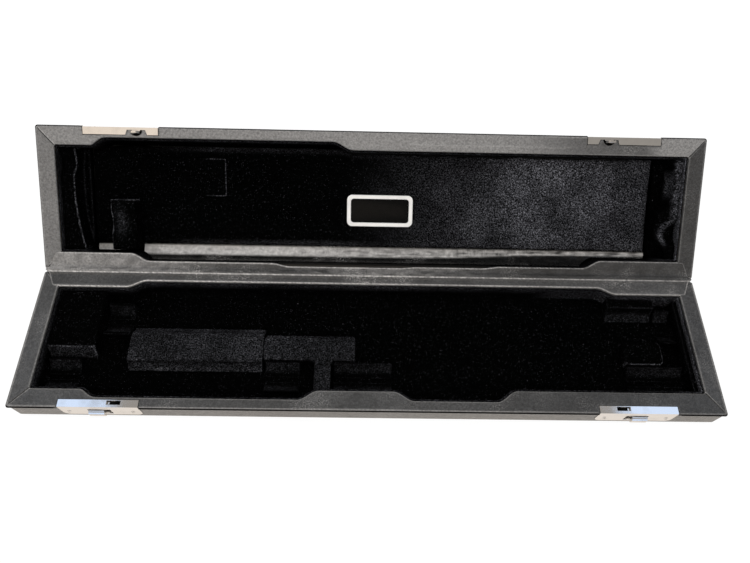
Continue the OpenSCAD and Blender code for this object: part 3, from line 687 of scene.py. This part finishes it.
def leather_cover(half):
    """The leather of a half in one closed shell, with its wear and painted light at each point."""
    points, wear = [], []
    rows = cover_profile(half)
    for kind, offset, z, worn_and_lit in rows:
        on_facing = z > half.h - TOP_BAND
        for column, (x, v) in enumerate(row_points(half, kind, offset)):
            ripple = 0.05 * waver(x * 0.09, v * 0.09, z * 0.09 + len(half.name))
            fold = front_fold(half, kind, offset, x, v)
            rise = seam_sink(kind, column) if on_facing else 0.0
            rise += FOLD_H * fold + (ripple if kind == "rim" else 0.0)
            points.append(half.point(x, v, z + rise))
            # Painted light and shade on the facings, and painted reflection on the sides
            tone = painted_rim_light(half, column, x) if on_facing else SIDE_PAINTED_REFLECTION
            tone += 0.25 * fold
            if worn_and_lit < 0:
                tone = worn_and_lit
            elif worn_and_lit > 0:
                tone = max(worn_and_lit + min(tone, 0.0), tone)
            wear.append(tone if kind == "out" else seam_tone(column, tone))
    inside = [("out", EDGE_R, LEATHER_T), ("out", LEATHER_T, EDGE_R),
              ("out", LEATHER_T, half.h - LEATHER_T), ("in", 0.8, half.h - LEATHER_T),
              ("in", 0.8, half.h - LIP_DEPTH[half.name])]
    for kind, offset, z in inside:
        points += [half.point(x, v, z) for x, v in row_points(half, kind, offset)]
        wear += [0.0] * LOOP_N
    n = LOOP_N
    first, last = len(rows) * n, len(points) - n
    faces = bridge(len(rows), n)
    faces += [tuple(i + first for i in face) for face in bridge(len(inside), n)]
    faces += [(k, (k + 1) % n, last + (k + 1) % n, last + k) for k in range(n)]
    faces += [tuple(range(first - n, first)), tuple(range(first, first + n))]
    return mesh_object(half.name + "_leather_cover", points, faces, wear)


def paint_overhang_shadow(piece):
    """Gives the faces that lie wholly in the painted shadow under the facing a leather that
    reflects next to nothing.
    """
    piece.data.materials.append(SHADOW_LEATHER)
    wear = piece.data.attributes["wear"].data
    for face in piece.data.polygons:
        if all(wear[v].value < 0.95 * OVERHANG_SHADOW for v in face.vertices):
            face.material_index = 1


# Latch plates: u runs from a plate's outer end
PLATE_L = 47.6
PLATE_X = 29.5
PLATE_RIM_D = 4.5
PLATE_FRONT_H = 14.0
PLATE_R = 4.0
PLATE_PLAY = 0.3
NOTCH_U = (28.0, 39.5)
NOTCH_V = 1.4
NOTCH_FLARE = 1.6
HOOK_U = 33.7
HOOK_V = 1.3
HOOK_POCKET_R = 3.85
SCREW_U = (4.5, 42.5)
SCREW_DROP = 8.5


def latch_x(right, u):
    return CASE_L - PLATE_X - u if right else PLATE_X + u


def plate_recess(half, right):
    """Blocks that open the leather for a latch plate: one for its rim flange, one in front."""
    g = PLATE_PLAY
    x0, x1 = sorted((latch_x(right, -g), latch_x(right, PLATE_L + g)))
    low, r, far = half.h - PLATE_FRONT_H - g, PLATE_R + g, half.h + 2
    bend = r * 0.29
    outline = [(x0, far), (x0, low + r), (x0 + bend, low + bend), (x0 + r, low),
               (x1 - r, low), (x1 - bend, low + bend), (x1, low + r), (x1, far)]
    front = prism("recess_front", outline,
                  lambda p, end: half.point(p[0], (-2, LEATHER_T + 0.02)[end], p[1]))
    ends = [(-g, PLATE_RIM_D + g), (-g, -2.1), (PLATE_L + g, -2.1), (PLATE_L + g, PLATE_RIM_D + g)]
    if half is LID:
        near, far_u = NOTCH_U
        ends += [(far_u + NOTCH_FLARE - g, PLATE_RIM_D + g), (far_u - g, NOTCH_V),
                 (near + g, NOTCH_V), (near - NOTCH_FLARE + g, PLATE_RIM_D + g)]
    plan = [(latch_x(right, u), v) for u, v in ends]
    z_ends = (half.h - LEATHER_T - 0.02, half.h + 2.1)
    cutters = [front, upright("recess_top", half, plan, z_ends)]
    if half is LID:
        bore = circle(latch_x(right, HOOK_U), HOOK_V, HOOK_POCKET_R)
        cutters.append(upright("hook_pocket", half, bore, z_ends))
    return cutters


COVE_R = 1.95
for half, nodes in ((TRAY, ("tray_bottom_leather", "tray_side_leather", "tray_rim_leather")),
                    (LID, ("lid_top_leather", "lid_side_leather", "lid_rim_leather"))):
    cover = leather_cover(half)
    cutters = [c for right in (False, True) for c in plate_recess(half, right)]
    cutters.append(rod("hinge_cove", half, (-2, CASE_L + 2), CASE_D, half.h + RIM_GAP / 2, COVE_R))
    smooth(cut(cover, cutters), 50)
    finish_piece(cover, LEATHER, "leather", half.name, *nodes)
    paint_overhang_shadow(cover)

# ---- Leather spine over the hinge ----

STRIP_END = 1.0
SPINE_LIFT = 0.22
SPINE_T = 0.45
RIDGE_R = 2.35
RIDGE_LINE = 2.4
RIDGE_FOOT = 3.4
SPINE_LONG_N = 860
# Points across it: over each lip, along each flat and round the ridge
LIP_N = 6
FLAT_N = 6
RIDGE_N = 13
SPINE_LIP_D = 1.6
SPINE_PLAY = 0.12
# The lid's side of the spine: (share of its length, painted light and shade)
SPINE_PAINTED_LIGHT = ((0.0, 0.40), (0.14, 0.26), (0.30, -0.08), (0.52, 0.18), (0.63, 0.06), (0.77, -0.55),
              (1.0, -0.3))


def between(stops, t):
    """The value at t of a curve that runs smoothly through the stops."""
    for (t0, a), (t1, b) in zip(stops, stops[1:]):
        if t <= t1:
            return lerp(a, b, ease(t, t0, t1))
    return stops[-1][1]


def spine_profile(x):
    """Points across the spine at x, from the tray's lip to the lid's: (y, z, painted highlight)."""
    tray_a, lid_a = TRAY.rear(x), LID.rear(x)
    lean_y, lean_z = -cos(LID_OPEN), sin(LID_OPEN)
    r = RIM_IN_R
    flat = RIM_GAP / 2 - SPINE_LIFT

    def tray_side(a, up):
        return (-a, up - flat)

    def lid_side(a, up):
        rise = up - flat
        return (a * lean_y - rise * lean_z, a * lean_z + rise * lean_y)

    rows = []
    for side, a_end in ((tray_side, tray_a), (lid_side, lid_a)):
        part = [(side(a_end + SPINE_PLAY, -SPINE_LIP_D - SPINE_LIFT), LIP_HIGHLIGHT)]
        part += [(side(a_end + SPINE_PLAY - r * (1 - cos(t)), -r * (1 - sin(t))),
                  0.7 * sin(2 * t) + LIP_HIGHLIGHT) for t in quarter_turn(LIP_N - 2)]
        part += [(side(a, 0.0), 0.0) for a in even(a_end - r, RIDGE_FOOT, FLAT_N)[1:]]
        rows.append(part)
    middle = (pi - LID_OPEN) / 2 + pi / 2
    half_span = radians(52)
    ridge = []
    for k in range(RIDGE_N):
        a = middle + half_span * (1 - 2 * k / (RIDGE_N - 1))
        ridge.append(((RIDGE_R * cos(a), RIDGE_R * sin(a)), bell(k, RIDGE_LINE, 1.3)))
    return rows[0] + ridge + rows[1][::-1]


def spine():
    """The leather over the hinge: creased along its ridge, where it is longest."""
    points, wear = [], []
    side_n = LIP_N + FLAT_N
    across = 2 * side_n + RIDGE_N
    for i in range(SPINE_LONG_N + 1):
        t = i / SPINE_LONG_N
        for k in range(across):
            edge = abs(2 * k / (across - 1) - 1) ** 1.5
            x = lerp(lerp(STRIP_END, RIM_LEFT, edge), CASE_L - lerp(STRIP_END, RIM_RIGHT, edge), t)
            (y, z), worn_and_lit = spine_profile(x)[k]
            near = worn_and_lit if side_n <= k < side_n + RIDGE_N else 0.0
            tick = waver(x * 0.9 + k * 0.35, k * 0.25, 3.0)
            fold = waver(x * 0.16, k * 0.2, 9.0)
            out = 0.16 * near * tick + 0.12 * fold * (1 if LIP_N <= k < across - LIP_N else 0)
            away = Vector((y, z)).normalized() * out
            points.append(Vector((x - CASE_L / 2, CASE_D / 2 + y + away[0],
                                  AXIS_Z + z + away[1])) * MM)
            # The ridge's pale line is painted highlight, broken by crackle in the worn leather; the
            # lid's side carries painted light and shade
            crackle = 0.7 + 0.7 * max(0.0, min(1.0, 0.5 + 1.6 * tick))
            on_lid = ease(k, across // 2 - 4, across // 2 - 2)
            lid_part = (between(SPINE_PAINTED_LIGHT, t) + 0.25 * fold) * on_lid
            at_end = 0.3 if i in (0, 1, SPINE_LONG_N - 1, SPINE_LONG_N) else 0.0
            tone = max(worn_and_lit * crackle * lerp(1.25, 0.6, t), lid_part, at_end)
            wear.append(tone + (1 - min(1.5 * tone, 1.0)) * min(lid_part, 0.0))
    piece = mesh_object("hinge_spine", points, grid_faces(SPINE_LONG_N + 1, across), wear)
    if piece.data.polygons[len(piece.data.polygons) // 2].normal.z < 0:
        piece.data.flip_normals()
    thick = piece.modifiers.new("thickness", "SOLIDIFY")
    thick.thickness = SPINE_T * MM
    thick.offset = -1
    return smooth(apply_modifiers(piece), 60)


hinge_spine = spine()
hinge_spine.data.materials.append(SPINE_LEATHER)
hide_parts("tray_hinge_leather", "lid_hinge_leather")
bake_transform(hinge_spine)

# ---- Plush linings ----

WALL_T = 1.6
PLUSH_DROP = 1.4
TRAY_PILE_Z = 6.5
LID_PILE_Z = 5.5
PANEL_X0 = 28.0
PANEL_X1 = CASE_L - 26.0
PANEL_V1 = CASE_D - 16.4

# Painted sheen on the wall plush: how pale it is along its top, and along the right part of its
# rear side
EDGE_SHEEN = {"tray": 0.2, "lid": 0.15}
REAR_SHEEN = {"tray": 0.4, "lid": 0.0}


def lining(half, pile_z, bare):
    """Wall and floor lining in one; bare(x, v) says where the wall has no pile."""
    top, r = half.h - PLUSH_DROP, 0.7
    rows = [(-0.05, half.floor_z), (-0.05, top - r), (-0.05 - r * 0.3, top - r * 0.2), (-r, top)]
    rows += [(-WALL_T + r * 0.3, top - r * 0.2), (-WALL_T, top - r), (-WALL_T, (top + pile_z) / 2)]
    rows += [(-WALL_T, pile_z + 1.5), (-WALL_T - 0.44, pile_z + 0.44), (-WALL_T - 1.5, pile_z)]
    points, pale = [], []
    for e, z in rows:
        on_top = ease(z, half.h - 5, top - r)
        for column, (x, v) in enumerate(inner_loop(half, e)):
            # Painted sheen: pale pile along the wall's top, the right wall's inner edge and part of
            # the rear side
            inner_edge_sheen = ease(x, RIGHT_X - 3, RIGHT_X - 1) * ease(-e, 0.8, 1.4)
            sheen = max(EDGE_SHEEN[half.name], inner_edge_sheen) * on_top
            if side_of(column) == 2 and e == -WALL_T:
                sheen = max(sheen, REAR_SHEEN[half.name] * ease(x, 322, 340))
            pale.append(sheen)
            if bare(x, v):
                v = min(CASE_D - half.rear(x) + 0.02 * e, v + abs(e))
            fuzz = 0.12 * waver(x * 0.5, v * 0.5, z * 0.5)
            points.append(half.point(x, v, z + (fuzz if e < -r / 2 else 0)))
    faces = tube_faces(len(rows), LOOP_N)
    return smooth(mesh_object(half.name + "_lining", points, faces, pale), 60)


tray_lining = lining(TRAY, TRAY_PILE_Z, lambda x, v: False)
finish_piece(tray_lining, PLUSH, "plush", "tray", "tray_wall_plush", "tray_bottom_plush")
lid_lining = lining(LID, LID_PILE_Z,
                    lambda x, v: PANEL_X0 < x < PANEL_X1 and v > PANEL_V1)
finish_piece(lid_lining, PLUSH, "plush", "lid", "lid_wall_plush", "lid_inner_plush")

# ---- Plush-covered blocks, softened from their solids ----
# Each sheen function gives the painted sheen: how pale the pile is at a place in the half, where it
# faces outwards so

BLOCK_VOXEL = 0.8
BLOCK_ROUNDS = 5
BLOCK_NAP = 0.10


def slanted(out):
    """How far a surface turns away from all three of the half's axes, from 0 to 1."""
    return ease(1 - max(abs(part) for part in out), 0.04, 0.22)


def sheen_on_slants(gain):
    return lambda place, out: gain * slanted(out)


def sheen_left_slope(place, out):
    """The tray's left block: painted sheen makes its front slope pale."""
    return 1.1 * slanted(out) * ease(-out[1], 0.1, 0.4)


def sheen_ridge(place, out):
    """Painted light: the foot joint's ridge is pale on top."""
    return 0.3 * ease(out[2], 0.7, 0.95) + 0.25 * slanted(out)


def sheen_right_edge(place, out):
    """The lid's left block: its upper edge shows as one painted highlight streak."""
    return slanted(out) * ease(out[0], 0.15, 0.5) * lerp(0.15, 1.2, ease(place[2], 14, 20))


def sheen_hold_down(place, out):
    """Painted highlights on the left and front edges, and a paler smudge on top."""
    edge = slanted(out) * max(1.8 * ease(-out[0], 0.1, 0.4), ease(-place[1], -47.5, -46.0))
    return edge + 0.3 * bell(place[0], 49, 3) * bell(place[1], 60, 7)


def sheen_foot_pad(place, out):
    """Only the pad's right end catches the light."""
    return 2.2 * slanted(out) * ease(place[0], 102, 112)


def sheen_crescent(place, out):
    """The lid's right block: painted highlights along the wall, and in a crescent round its lower
    hollow.
    """
    x, v = place[:2]
    hollow_x, hollow_v, hollow_r = 417.5, 62, 8.2
    along_wall = 0.5 * ease(x, 411.5, 415) * (1 - ease(v, 48, 58))
    ring = bell(hypot(x - hollow_x, v - hollow_v), hollow_r, 1.7)
    return along_wall + 0.9 * ring * ease(413 + 4 * ease(hollow_v - v, 0, 6) - x, 0, 3)


def sheen_divider(place, out):
    """The divider's front and right edges catch the light."""
    lit = max(ease(out[0], 0.15, 0.5), ease(-out[1], 0.15, 0.5))
    return 0.9 * slanted(out) * lit * ease(place[0], CASE_L - 54, CASE_L - 51)


SHEEN_BY_BLOCK = {
    "tray_left_block": sheen_left_slope,
    "foot_ridge": sheen_ridge,
    "centre_t_block": sheen_ridge,
    "barrel_divider": sheen_divider,
    "barrel_rear_block": sheen_on_slants(0.2),
    "lid_left_block": sheen_right_edge,
    "lid_right_block": sheen_crescent,
    "tenon_hold_down": sheen_hold_down,
    "foot_pad": sheen_foot_pad,
}
HIDDEN_SHEEN = sheen_on_slants(0.12)


def soft_copy(node, half):
    """A padded form of a block: rounded edges, uneven faces, and painted sheen on its pile in
    places.
    """
    piece = copy_of(node, "_padded")
    weld = piece.modifiers.new("weld", "WELD")
    weld.merge_threshold = 0.00001
    remesh = piece.modifiers.new("remesh", "REMESH")
    remesh.mode = "VOXEL"
    remesh.voxel_size = BLOCK_VOXEL * MM
    relax = piece.modifiers.new("relax", "SMOOTH")
    relax.factor = 0.5
    relax.iterations = BLOCK_ROUNDS
    mesh = apply_modifiers(piece).data
    sheen = SHEEN_BY_BLOCK.get(node, HIDDEN_SHEEN)
    points, pale = [], []
    for vertex in mesh.vertices:
        place, normal = vertex.co, vertex.normal
        push = BLOCK_NAP * (noise.noise(place * 260) + 0.4 * noise.noise(place * 900))
        points.extend(place + normal * push * MM)
        out = [normal.dot(axis) for axis in half.axes]
        ruffled = 1 + 0.9 * noise.noise(place * 420)
        pale.append(min(ruffled * sheen(half.place_of(place), out), 1.0))
    mesh.vertices.foreach_set("co", points)
    set_wear_and_light(mesh, pale)
    return smooth(piece, 80)


TRAY_BLOCKS = ("tray_left_block", "foot_ridge", "centre_t_block", "barrel_divider",
               "barrel_rear_block", "right_end_pad", "tenon_saddle", "barrel_saddle",
               "foot_left_saddle", "foot_right_saddle", "head_left_saddle", "head_right_saddle")
LID_BLOCKS = ("lid_left_block", "lid_right_block", "tenon_hold_down", "foot_pad")
for half, blocks in ((TRAY, TRAY_BLOCKS), (LID, LID_BLOCKS)):
    for block in blocks:
        pad = soft_copy(block, half)
        finish_piece(pad, PLUSH, "plush", half.name, block)

# ---- The lid's cushioned panel ----

PANEL_V0 = 10.4
PANEL_TOP_Z = 10.5
CUSHION_T = 2.5
CROWN = 0.25
ROLL_W = 2.2
CUSHION_LONG_N = 76
CUSHION_ACROSS_N = 18
PUFF_CAP = 0.45
PUFF_FRAMES = 10


def cushion_spot(i, k):
    """Where a point of the cushion's grid lies: its x and v, and its row's front end."""
    by_left_end = i in (1, 2, 3)
    part = half_cosine(i, CUSHION_LONG_N) if by_left_end else i / CUSHION_LONG_N
    x = lerp(PANEL_X0, PANEL_X1, part)
    v0 = max(PANEL_V0, LID.front(x) + WALL_T + 0.3)
    return x, lerp(v0, PANEL_V1, half_cosine(k, CUSHION_ACROSS_N)), v0


def cushion_foot(i, k):
    x, v, _ = cushion_spot(i, k)
    return LID.point(x, v, LID_PILE_Z)


def cushion():
    """A crowned cushion whose edges roll over, following the rim in front."""
    points, pale = [], []
    rows, columns = CUSHION_LONG_N + 1, CUSHION_ACROSS_N + 1
    for i in range(rows):
        for k in range(columns):
            x, v, v0 = cushion_spot(i, k)
            d = min(x - PANEL_X0, PANEL_X1 - x, v - v0, PANEL_V1 - v)
            roll = min(max(d, 0.0) / ROLL_W, 1.0)
            edge = (CUSHION_T - CROWN) * sqrt(1 - (1 - roll) ** 2)
            crown = CROWN * sin(pi * (v - v0) / (PANEL_V1 - v0))
            dent = 0.16 * waver(x * 0.05, v * 0.06, 2.0)
            fuzz = 0.07 * waver(x * 0.7, v * 0.7, 5.0)
            up = edge + (crown + dent + fuzz) * min(d / 3, 1)
            points.append(LID.point(x, v, PANEL_TOP_Z + max(up, 0.0)))
            # Painted sheen: the pile is paler on the panel's right part and along its rolled edges
            painted_sheen = ease(x, 190, 345) * (0.75 + 0.5 * waver(x * 0.02, v * 0.03, 6))
            pale.append(max(painted_sheen, 0.35 * ease(3 - d, 0, 2) * ease(x, 60, 110)))
    return skirted("lid_cushion", points, pale, rows, columns, cushion_foot)


def puff(piece, held_z):
    """Blows a padded piece up as cloth that is held below held_z, and keeps the rest near by."""
    before = [vertex.co.copy() for vertex in piece.data.vertices]
    held = [i for i, co in enumerate(before) if LID.place_of(co)[2] < held_z]
    piece.vertex_groups.new(name="held").add(held, 1.0, "REPLACE")
    cloth = piece.modifiers.new("cloth", "CLOTH")
    cloth.settings.quality = 3
    cloth.settings.use_pressure = True
    cloth.settings.uniform_pressure_force = 4.0
    cloth.settings.vertex_group_mass = "held"
    cloth.settings.shrink_min = -0.03
    cloth.settings.effector_weights.gravity = 0.0
    for step in range(1, PUFF_FRAMES + 1):
        scene.frame_set(step)
    after = [vertex.co.copy() for vertex in apply_modifiers(piece).data.vertices]
    scene.frame_set(1)
    piece.vertex_groups.clear()
    points, cap = [], PUFF_CAP * MM
    for old, new in zip(before, after):
        move = new - old
        far = max(move.length, 1e-9)
        points.extend(old + move * (cap * tanh(far / cap) / far))
    piece.data.vertices.foreach_set("co", points)
    piece.data.update()
    return piece


lid_cushion = cushion()
puff(lid_cushion, PANEL_TOP_Z - 0.5)
finer = lid_cushion.modifiers.new("finer", "SUBSURF")
finer.levels = finer.render_levels = 2
smooth(apply_modifiers(lid_cushion), 60)
finish_piece(lid_cushion, PLUSH, "plush", "lid", "lid_panel_cushion")

# ---- Leather cove along the hinge side ----

COVE_BASE_Z = 9.5
COVE_FILL_R = 9.6
HOLD_X0 = 42.8
HOLD_X1 = 58.8
COVE_ACROSS_N = 22


def cove_turn(x):
    """How far the roll turns before it meets the wall."""
    wall_v = CASE_D - LID.rear(x) - 0.05
    return asin(min((wall_v - PANEL_V1) / COVE_FILL_R, 1.0))


def cove_strip(name, x0, x1, rows_n):
    """Leather that rolls up from the panel to the wall, with slack wrinkles along it and a painted
    highlight band.
    """
    points, wear = [], []
    for x in even(x0, x1, rows_n):
        full = cove_turn(x)
        slack = ease(x, 250, 330)
        for k in range(COVE_ACROSS_N + 1):
            t = k / COVE_ACROSS_N
            a = full * t
            u = a / (pi / 2)
            v = PANEL_V1 + COVE_FILL_R * sin(a)
            z = COVE_BASE_Z + COVE_FILL_R * (1 - cos(a))
            swell = waver(x * 0.035, u * 1.4, 1.0)
            wrinkle = waver(x * (0.10 + 0.10 * slack), u * 3.0, 7.0)
            crease = 0.9 * bell(x, 323 + 2 * t, 1.3)
            lift = 0.45 * swell + (0.35 + 0.55 * slack) * wrinkle - crease
            lift *= sin(pi * t)
            points.append(LID.point(x, v - lift * sin(a) * 0.8, z + lift * cos(a)))
            # Painted highlight: a pale band low on the roll, brighter to the left and streaked
            # along the wrinkles
            narrow = lerp(1.0, 0.5, ease(x, 240, 345))
            highlight_band = ease(u, 0.02, 0.08) * (1 - ease(u, 0.42 * narrow, 0.58 * narrow))
            highlight_streak = waver(x * 0.14, u * 11.0, 4.0) + 0.5 * wrinkle
            lit = lerp(1.08, 0.60, ease(x, 120, 250)) + lerp(0.5, 0.8, slack) * highlight_streak
            wear.append(highlight_band * max(0.0, min(1.0, lit)))

    def foot(i, k):
        x = lerp(x0, x1, i / rows_n)
        a = cove_turn(x) * k / COVE_ACROSS_N
        return LID.point(x, PANEL_V1 + COVE_FILL_R * sin(a), LID_PILE_Z)

    return skirted(name, points, wear, rows_n + 1, COVE_ACROSS_N + 1, foot)


for name, x0, x1, rows_n in (("lid_cove_left", PANEL_X0, HOLD_X0 - 0.2, 24),
                             ("lid_cove_right", HOLD_X1 + 0.2, PANEL_X1, 420)):
    strip = cove_strip(name, x0, x1, rows_n)
    finish_piece(strip, COVE_PAINTED_LIGHT_LEATHER, "leather", "lid", "lid_rear_cove")

# ---- Metal: solids with their edges broken ----


def edged_copy(node, width):
    """A solid's copy with every sharp edge rounded by that width."""
    piece = copy_of(node, "_edged")
    if "custom_normal" in piece.data.attributes:
        piece.data.attributes.remove(piece.data.attributes["custom_normal"])
    tidy = bmesh.new()
    tidy.from_mesh(piece.data)
    bmesh.ops.remove_doubles(tidy, verts=tidy.verts, dist=0.000002)
    bmesh.ops.dissolve_limit(tidy, angle_limit=radians(1), verts=tidy.verts, edges=tidy.edges)
    tidy.to_mesh(piece.data)
    tidy.free()
    bevel = piece.modifiers.new("edges", "BEVEL")
    bevel.width = width * MM
    bevel.segments = 3
    bevel.limit_method = "ANGLE"
    bevel.angle_limit = radians(38)
    bevel.use_clamp_overlap = True
    return smooth(apply_modifiers(piece), 12)


PLATE_EDGE = 0.22
SLIDER_EDGE = 0.14
HOOK_EDGE = 0.12
EDGED = {
    "tray": (("left_latch_plate", "chrome", PLATE_EDGE),
             ("right_latch_plate", "chrome", PLATE_EDGE)),
    "left_latch": (("left_slider", "chrome", SLIDER_EDGE), ("left_bolt", "steel", HOOK_EDGE)),
    "right_latch": (("right_slider", "chrome", SLIDER_EDGE), ("right_bolt", "steel", HOOK_EDGE)),
    "lid": (("left_lid_plate", "chrome", PLATE_EDGE), ("right_lid_plate", "chrome", PLATE_EDGE),
            ("left_hook", "steel", HOOK_EDGE), ("right_hook", "steel", HOOK_EDGE)),
}
for body, rows in EDGED.items():
    for node, slot, width in rows:
        finish_piece(edged_copy(node, width), CHROME, slot, body, node)

# ---- Cross-head screws in the latch plates ----

SCREW_R = 1.5
SCREW_HEAD_T = 0.6
PLATE_FACE_V = -0.2
# A slot's half length and half width, and where its floor lies
SLOT_L = 1.05
SLOT_W = 0.2
SLOT_V = -0.42


def screw_heads(half):
    """Domed heads with a cross cut in each, on both plates of a half."""
    points, faces = [], []
    sides, rings = 24, 5
    places = [(latch_x(right, u), half.h - SCREW_DROP) for right in (False, True) for u in SCREW_U]
    for cx, cz in places:
        first = len(points)
        points.append(half.point(cx, PLATE_FACE_V - SCREW_HEAD_T, cz))
        for a in quarter_turn(rings, 1):
            v = PLATE_FACE_V - SCREW_HEAD_T * cos(a)
            points += [half.point(x, v, z) for x, z in circle(cx, cz, SCREW_R * sin(a), sides)]
        for k in range(sides):
            m = (k + 1) % sides
            faces.append((first, first + 1 + k, first + 1 + m))
            for ring in range(rings - 1):
                a, b = first + 1 + ring * sides, first + 1 + (ring + 1) * sides
                faces.append((a + k, b + k, b + m, a + m))
        faces.append(tuple(first + 1 + (rings - 1) * sides + k for k in range(sides)))
    slots = []
    for cx, cz in places:
        for dx, dz in ((SLOT_L, SLOT_W), (SLOT_W, SLOT_L)):
            plan = [(cx - dx, -2), (cx + dx, -2), (cx + dx, SLOT_V), (cx - dx, SLOT_V)]
            slots.append(upright("slot", half, plan, (cz - dz, cz + dz)))
    return smooth(cut(mesh_object(half.name + "_screw_heads", points, faces), slots), 40)


for half, nodes in ((TRAY, "tray_latch_screws"), (LID, "lid_latch_screws")):
    finish_piece(screw_heads(half), CHROME, "chrome", half.name, nodes)

# ---- Nameplate, left bare ----

NAME_X = 219.8
NAME_V = CASE_D - 41.5
NAME_L = 44.4
NAME_W = 21.2
NAME_BORDER = 2.6
NAME_R = 3.5
NAME_Z = PANEL_TOP_Z + CUSHION_T
NAME_ARC_N = 10


def name_loop(t):
    """The nameplate's outline, moved inwards by t."""
    w, d, r = NAME_L / 2 - t, NAME_W / 2 - t, max(NAME_R - 0.6 * t, 0.5)
    loop = []
    for sx, sv, start in ((1, -1, -90), (1, 1, 0), (-1, 1, 90), (-1, -1, 180)):
        for k in range(NAME_ARC_N + 1):
            a = radians(start + 90 * k / NAME_ARC_N)
            loop.append((NAME_X + sx * (w - r) + r * cos(a), NAME_V + sv * (d - r) + r * sin(a)))
    return loop


def plate_from(name, rows):
    """A closed plate from loops of (inset, height); the first and last are filled."""
    n = len(name_loop(0))
    points = [LID.point(x, v, NAME_Z + z) for t, z in rows for x, v in name_loop(t)]
    return smooth(mesh_object(name, points, tube_faces(len(rows), n)), 40)


NAME_EDGE = 0.4
rounded = [(NAME_EDGE * (1 - cos(a)), 0.8 + NAME_EDGE * sin(a)) for a in quarter_turn(6)]
rounded += [(NAME_BORDER - inset, z) for inset, z in rounded[::-1]]
border = plate_from("nameplate_border", [(NAME_BORDER, 0.0), (0.0, 0.0)] + rounded
                    + [(NAME_BORDER + 0.2, 0.4), (NAME_BORDER + 0.2, 0.0)])
finish_piece(border, SILVER, "plate_silver", "lid", "nameplate_frame")
field = plate_from("nameplate_enamel", [(NAME_BORDER - 0.1, 0.02), (NAME_BORDER - 0.1, 0.55),
                                        (NAME_BORDER + 0.15, 0.7)])
finish_piece(field, ENAMEL, "plate_black", "lid", "nameplate_field")

# ---- Finishes of the CAD nodes that stay ----

CAD_FINISH = {
    WOOD: ("tray_bottom_board", "tray_rear_rail", "tray_left_end", "tray_right_end",
           "lid_top_board", "lid_left_end", "lid_right_end"),
    # Painted shade: these are near-black where they show, behind the latches, beside the cushion
    # and under the lid's rear lip
    PAINTED_SHADE_WOOD: ("tray_front_rail", "lid_front_rail", "lid_rear_rail", "lid_panel_board"),
    STEEL: ("hinge_pin", "hinge_screws", "detent_springs"),
    # Painted shade: the hinge leaves show as a dark band under the lid's rear lip
    PAINTED_SHADE_STEEL: ("hinge_tray_leaf", "hinge_lid_leaf"),
}
for material, nodes in CAD_FINISH.items():
    for node in nodes:
        mesh = frame["nodes"][node].data
        mesh.materials.clear()
        mesh.materials.append(material)

# ---- Floor, light and camera ----


def floor():
    """A pale floor that a camera or a mirror sees as white, with the case's shadow on it."""
    side = 3.0
    mesh = bpy.data.meshes.new("floor")
    mesh.from_pydata([(-side, -side, 0), (side, -side, 0), (side, side, 0), (-side, side, 0)],
                     [], [(0, 1, 2, 3)])
    piece = new_object("floor", mesh)
    material, tree, bsdf = new_material("floor")
    tree.nodes.remove(bsdf)
    paths = shader_node(tree, "LightPath")
    seen = maths("MAXIMUM", paths.outputs["Is Camera Ray"], paths.outputs["Is Glossy Ray"])
    matt = shader_node(tree, "BsdfDiffuse", {"Color": (0.86, 0.86, 0.86, 1.0)})
    tint = blended(paths.outputs["Is Glossy Ray"], grey(1.06), (0.86, 0.78, 0.70, 1.0))
    glow = shader_node(tree, "Emission", {"Color": tint, "Strength": 1.0})
    share = maths("MULTIPLY", seen, 0.88)
    mixed = shader_node(tree, "MixShader", {
        0: share, 1: matt.outputs["BSDF"], 2: glow.outputs["Emission"]})
    tree.links.new(mixed.outputs["Shader"], tree.nodes["Material Output"].inputs["Surface"])
    mesh.materials.append(material)


ROOM_LIGHT = 1.05
ROOM_SHEEN = 0.32


def world():
    """Even light that mirrors show dimmer and warmer, and the camera as white."""
    made = bpy.data.worlds.new("studio")
    scene.world = made
    made.use_nodes = True
    tree = made.node_tree
    paths = shader_node(tree, "LightPath")
    matt = span(paths.outputs["Is Glossy Ray"], 0, 1, ROOM_LIGHT, ROOM_SHEEN)
    strength = maths("MAXIMUM", matt, paths.outputs["Is Camera Ray"])
    sky = tree.nodes["Background"]
    tint = blended(paths.outputs["Is Glossy Ray"], grey(1.0), (1.0, 0.93, 0.85, 1.0))
    tree.links.new(tint, sky.inputs["Color"])
    tree.links.new(strength, sky.inputs["Strength"])


def softbox(name, place, aim, size, watts, colour):
    light = bpy.data.lights.new(name, "AREA")
    light.shape = "RECTANGLE"
    light.size, light.size_y = size
    light.energy = watts
    light.color = colour
    lamp = new_object(name, light)
    lamp.location = place
    lamp.rotation_euler = (Vector(aim) - Vector(place)).to_track_quat("-Z", "Y").to_euler()


floor()
world()
# A skylight and a low panel a side stand where that side's latch plate and its thumb piece mirror
# them, and a warm panel stands where the lid's plates do
SKY_BLUE = (0.50, 0.69, 1.0)
for side, sky_x, low_x in (("left", -0.995, -0.73), ("right", 1.015, 0.79)):
    softbox(side + "_skylight", (sky_x, 0.40, 1.4), (sky_x, 0.40, 0), (0.54, 0.6), 0.87, SKY_BLUE)
    softbox(side + "_low_panel", (low_x, -1.37, 0.40), (low_x / 4.6, -0.05, 0.016), (0.42, 0.42),
            0.45, SKY_BLUE)
softbox("warm_panel", (-0.35, -1.0, 1.2), (0, 0.1, 0.05), (1.7, 0.9), 2.6, (1.0, 0.84, 0.68))

# The camera was fitted to six corners of the case
CAMERA_PLACE = (-0.005789, -0.15518, 0.38027)
CAMERA_TURN = (28.594, -1.417, 0.284)
CAMERA_LENS = 29.706
lens = bpy.data.cameras.new("camera")
lens.lens = CAMERA_LENS
lens.sensor_width = 36.0
lens.clip_start = 0.01
camera = new_object("camera", lens)
camera.location = CAMERA_PLACE
camera.rotation_euler = [radians(a) for a in CAMERA_TURN]
scene.camera = camera
scene.view_settings.view_transform = "Standard"
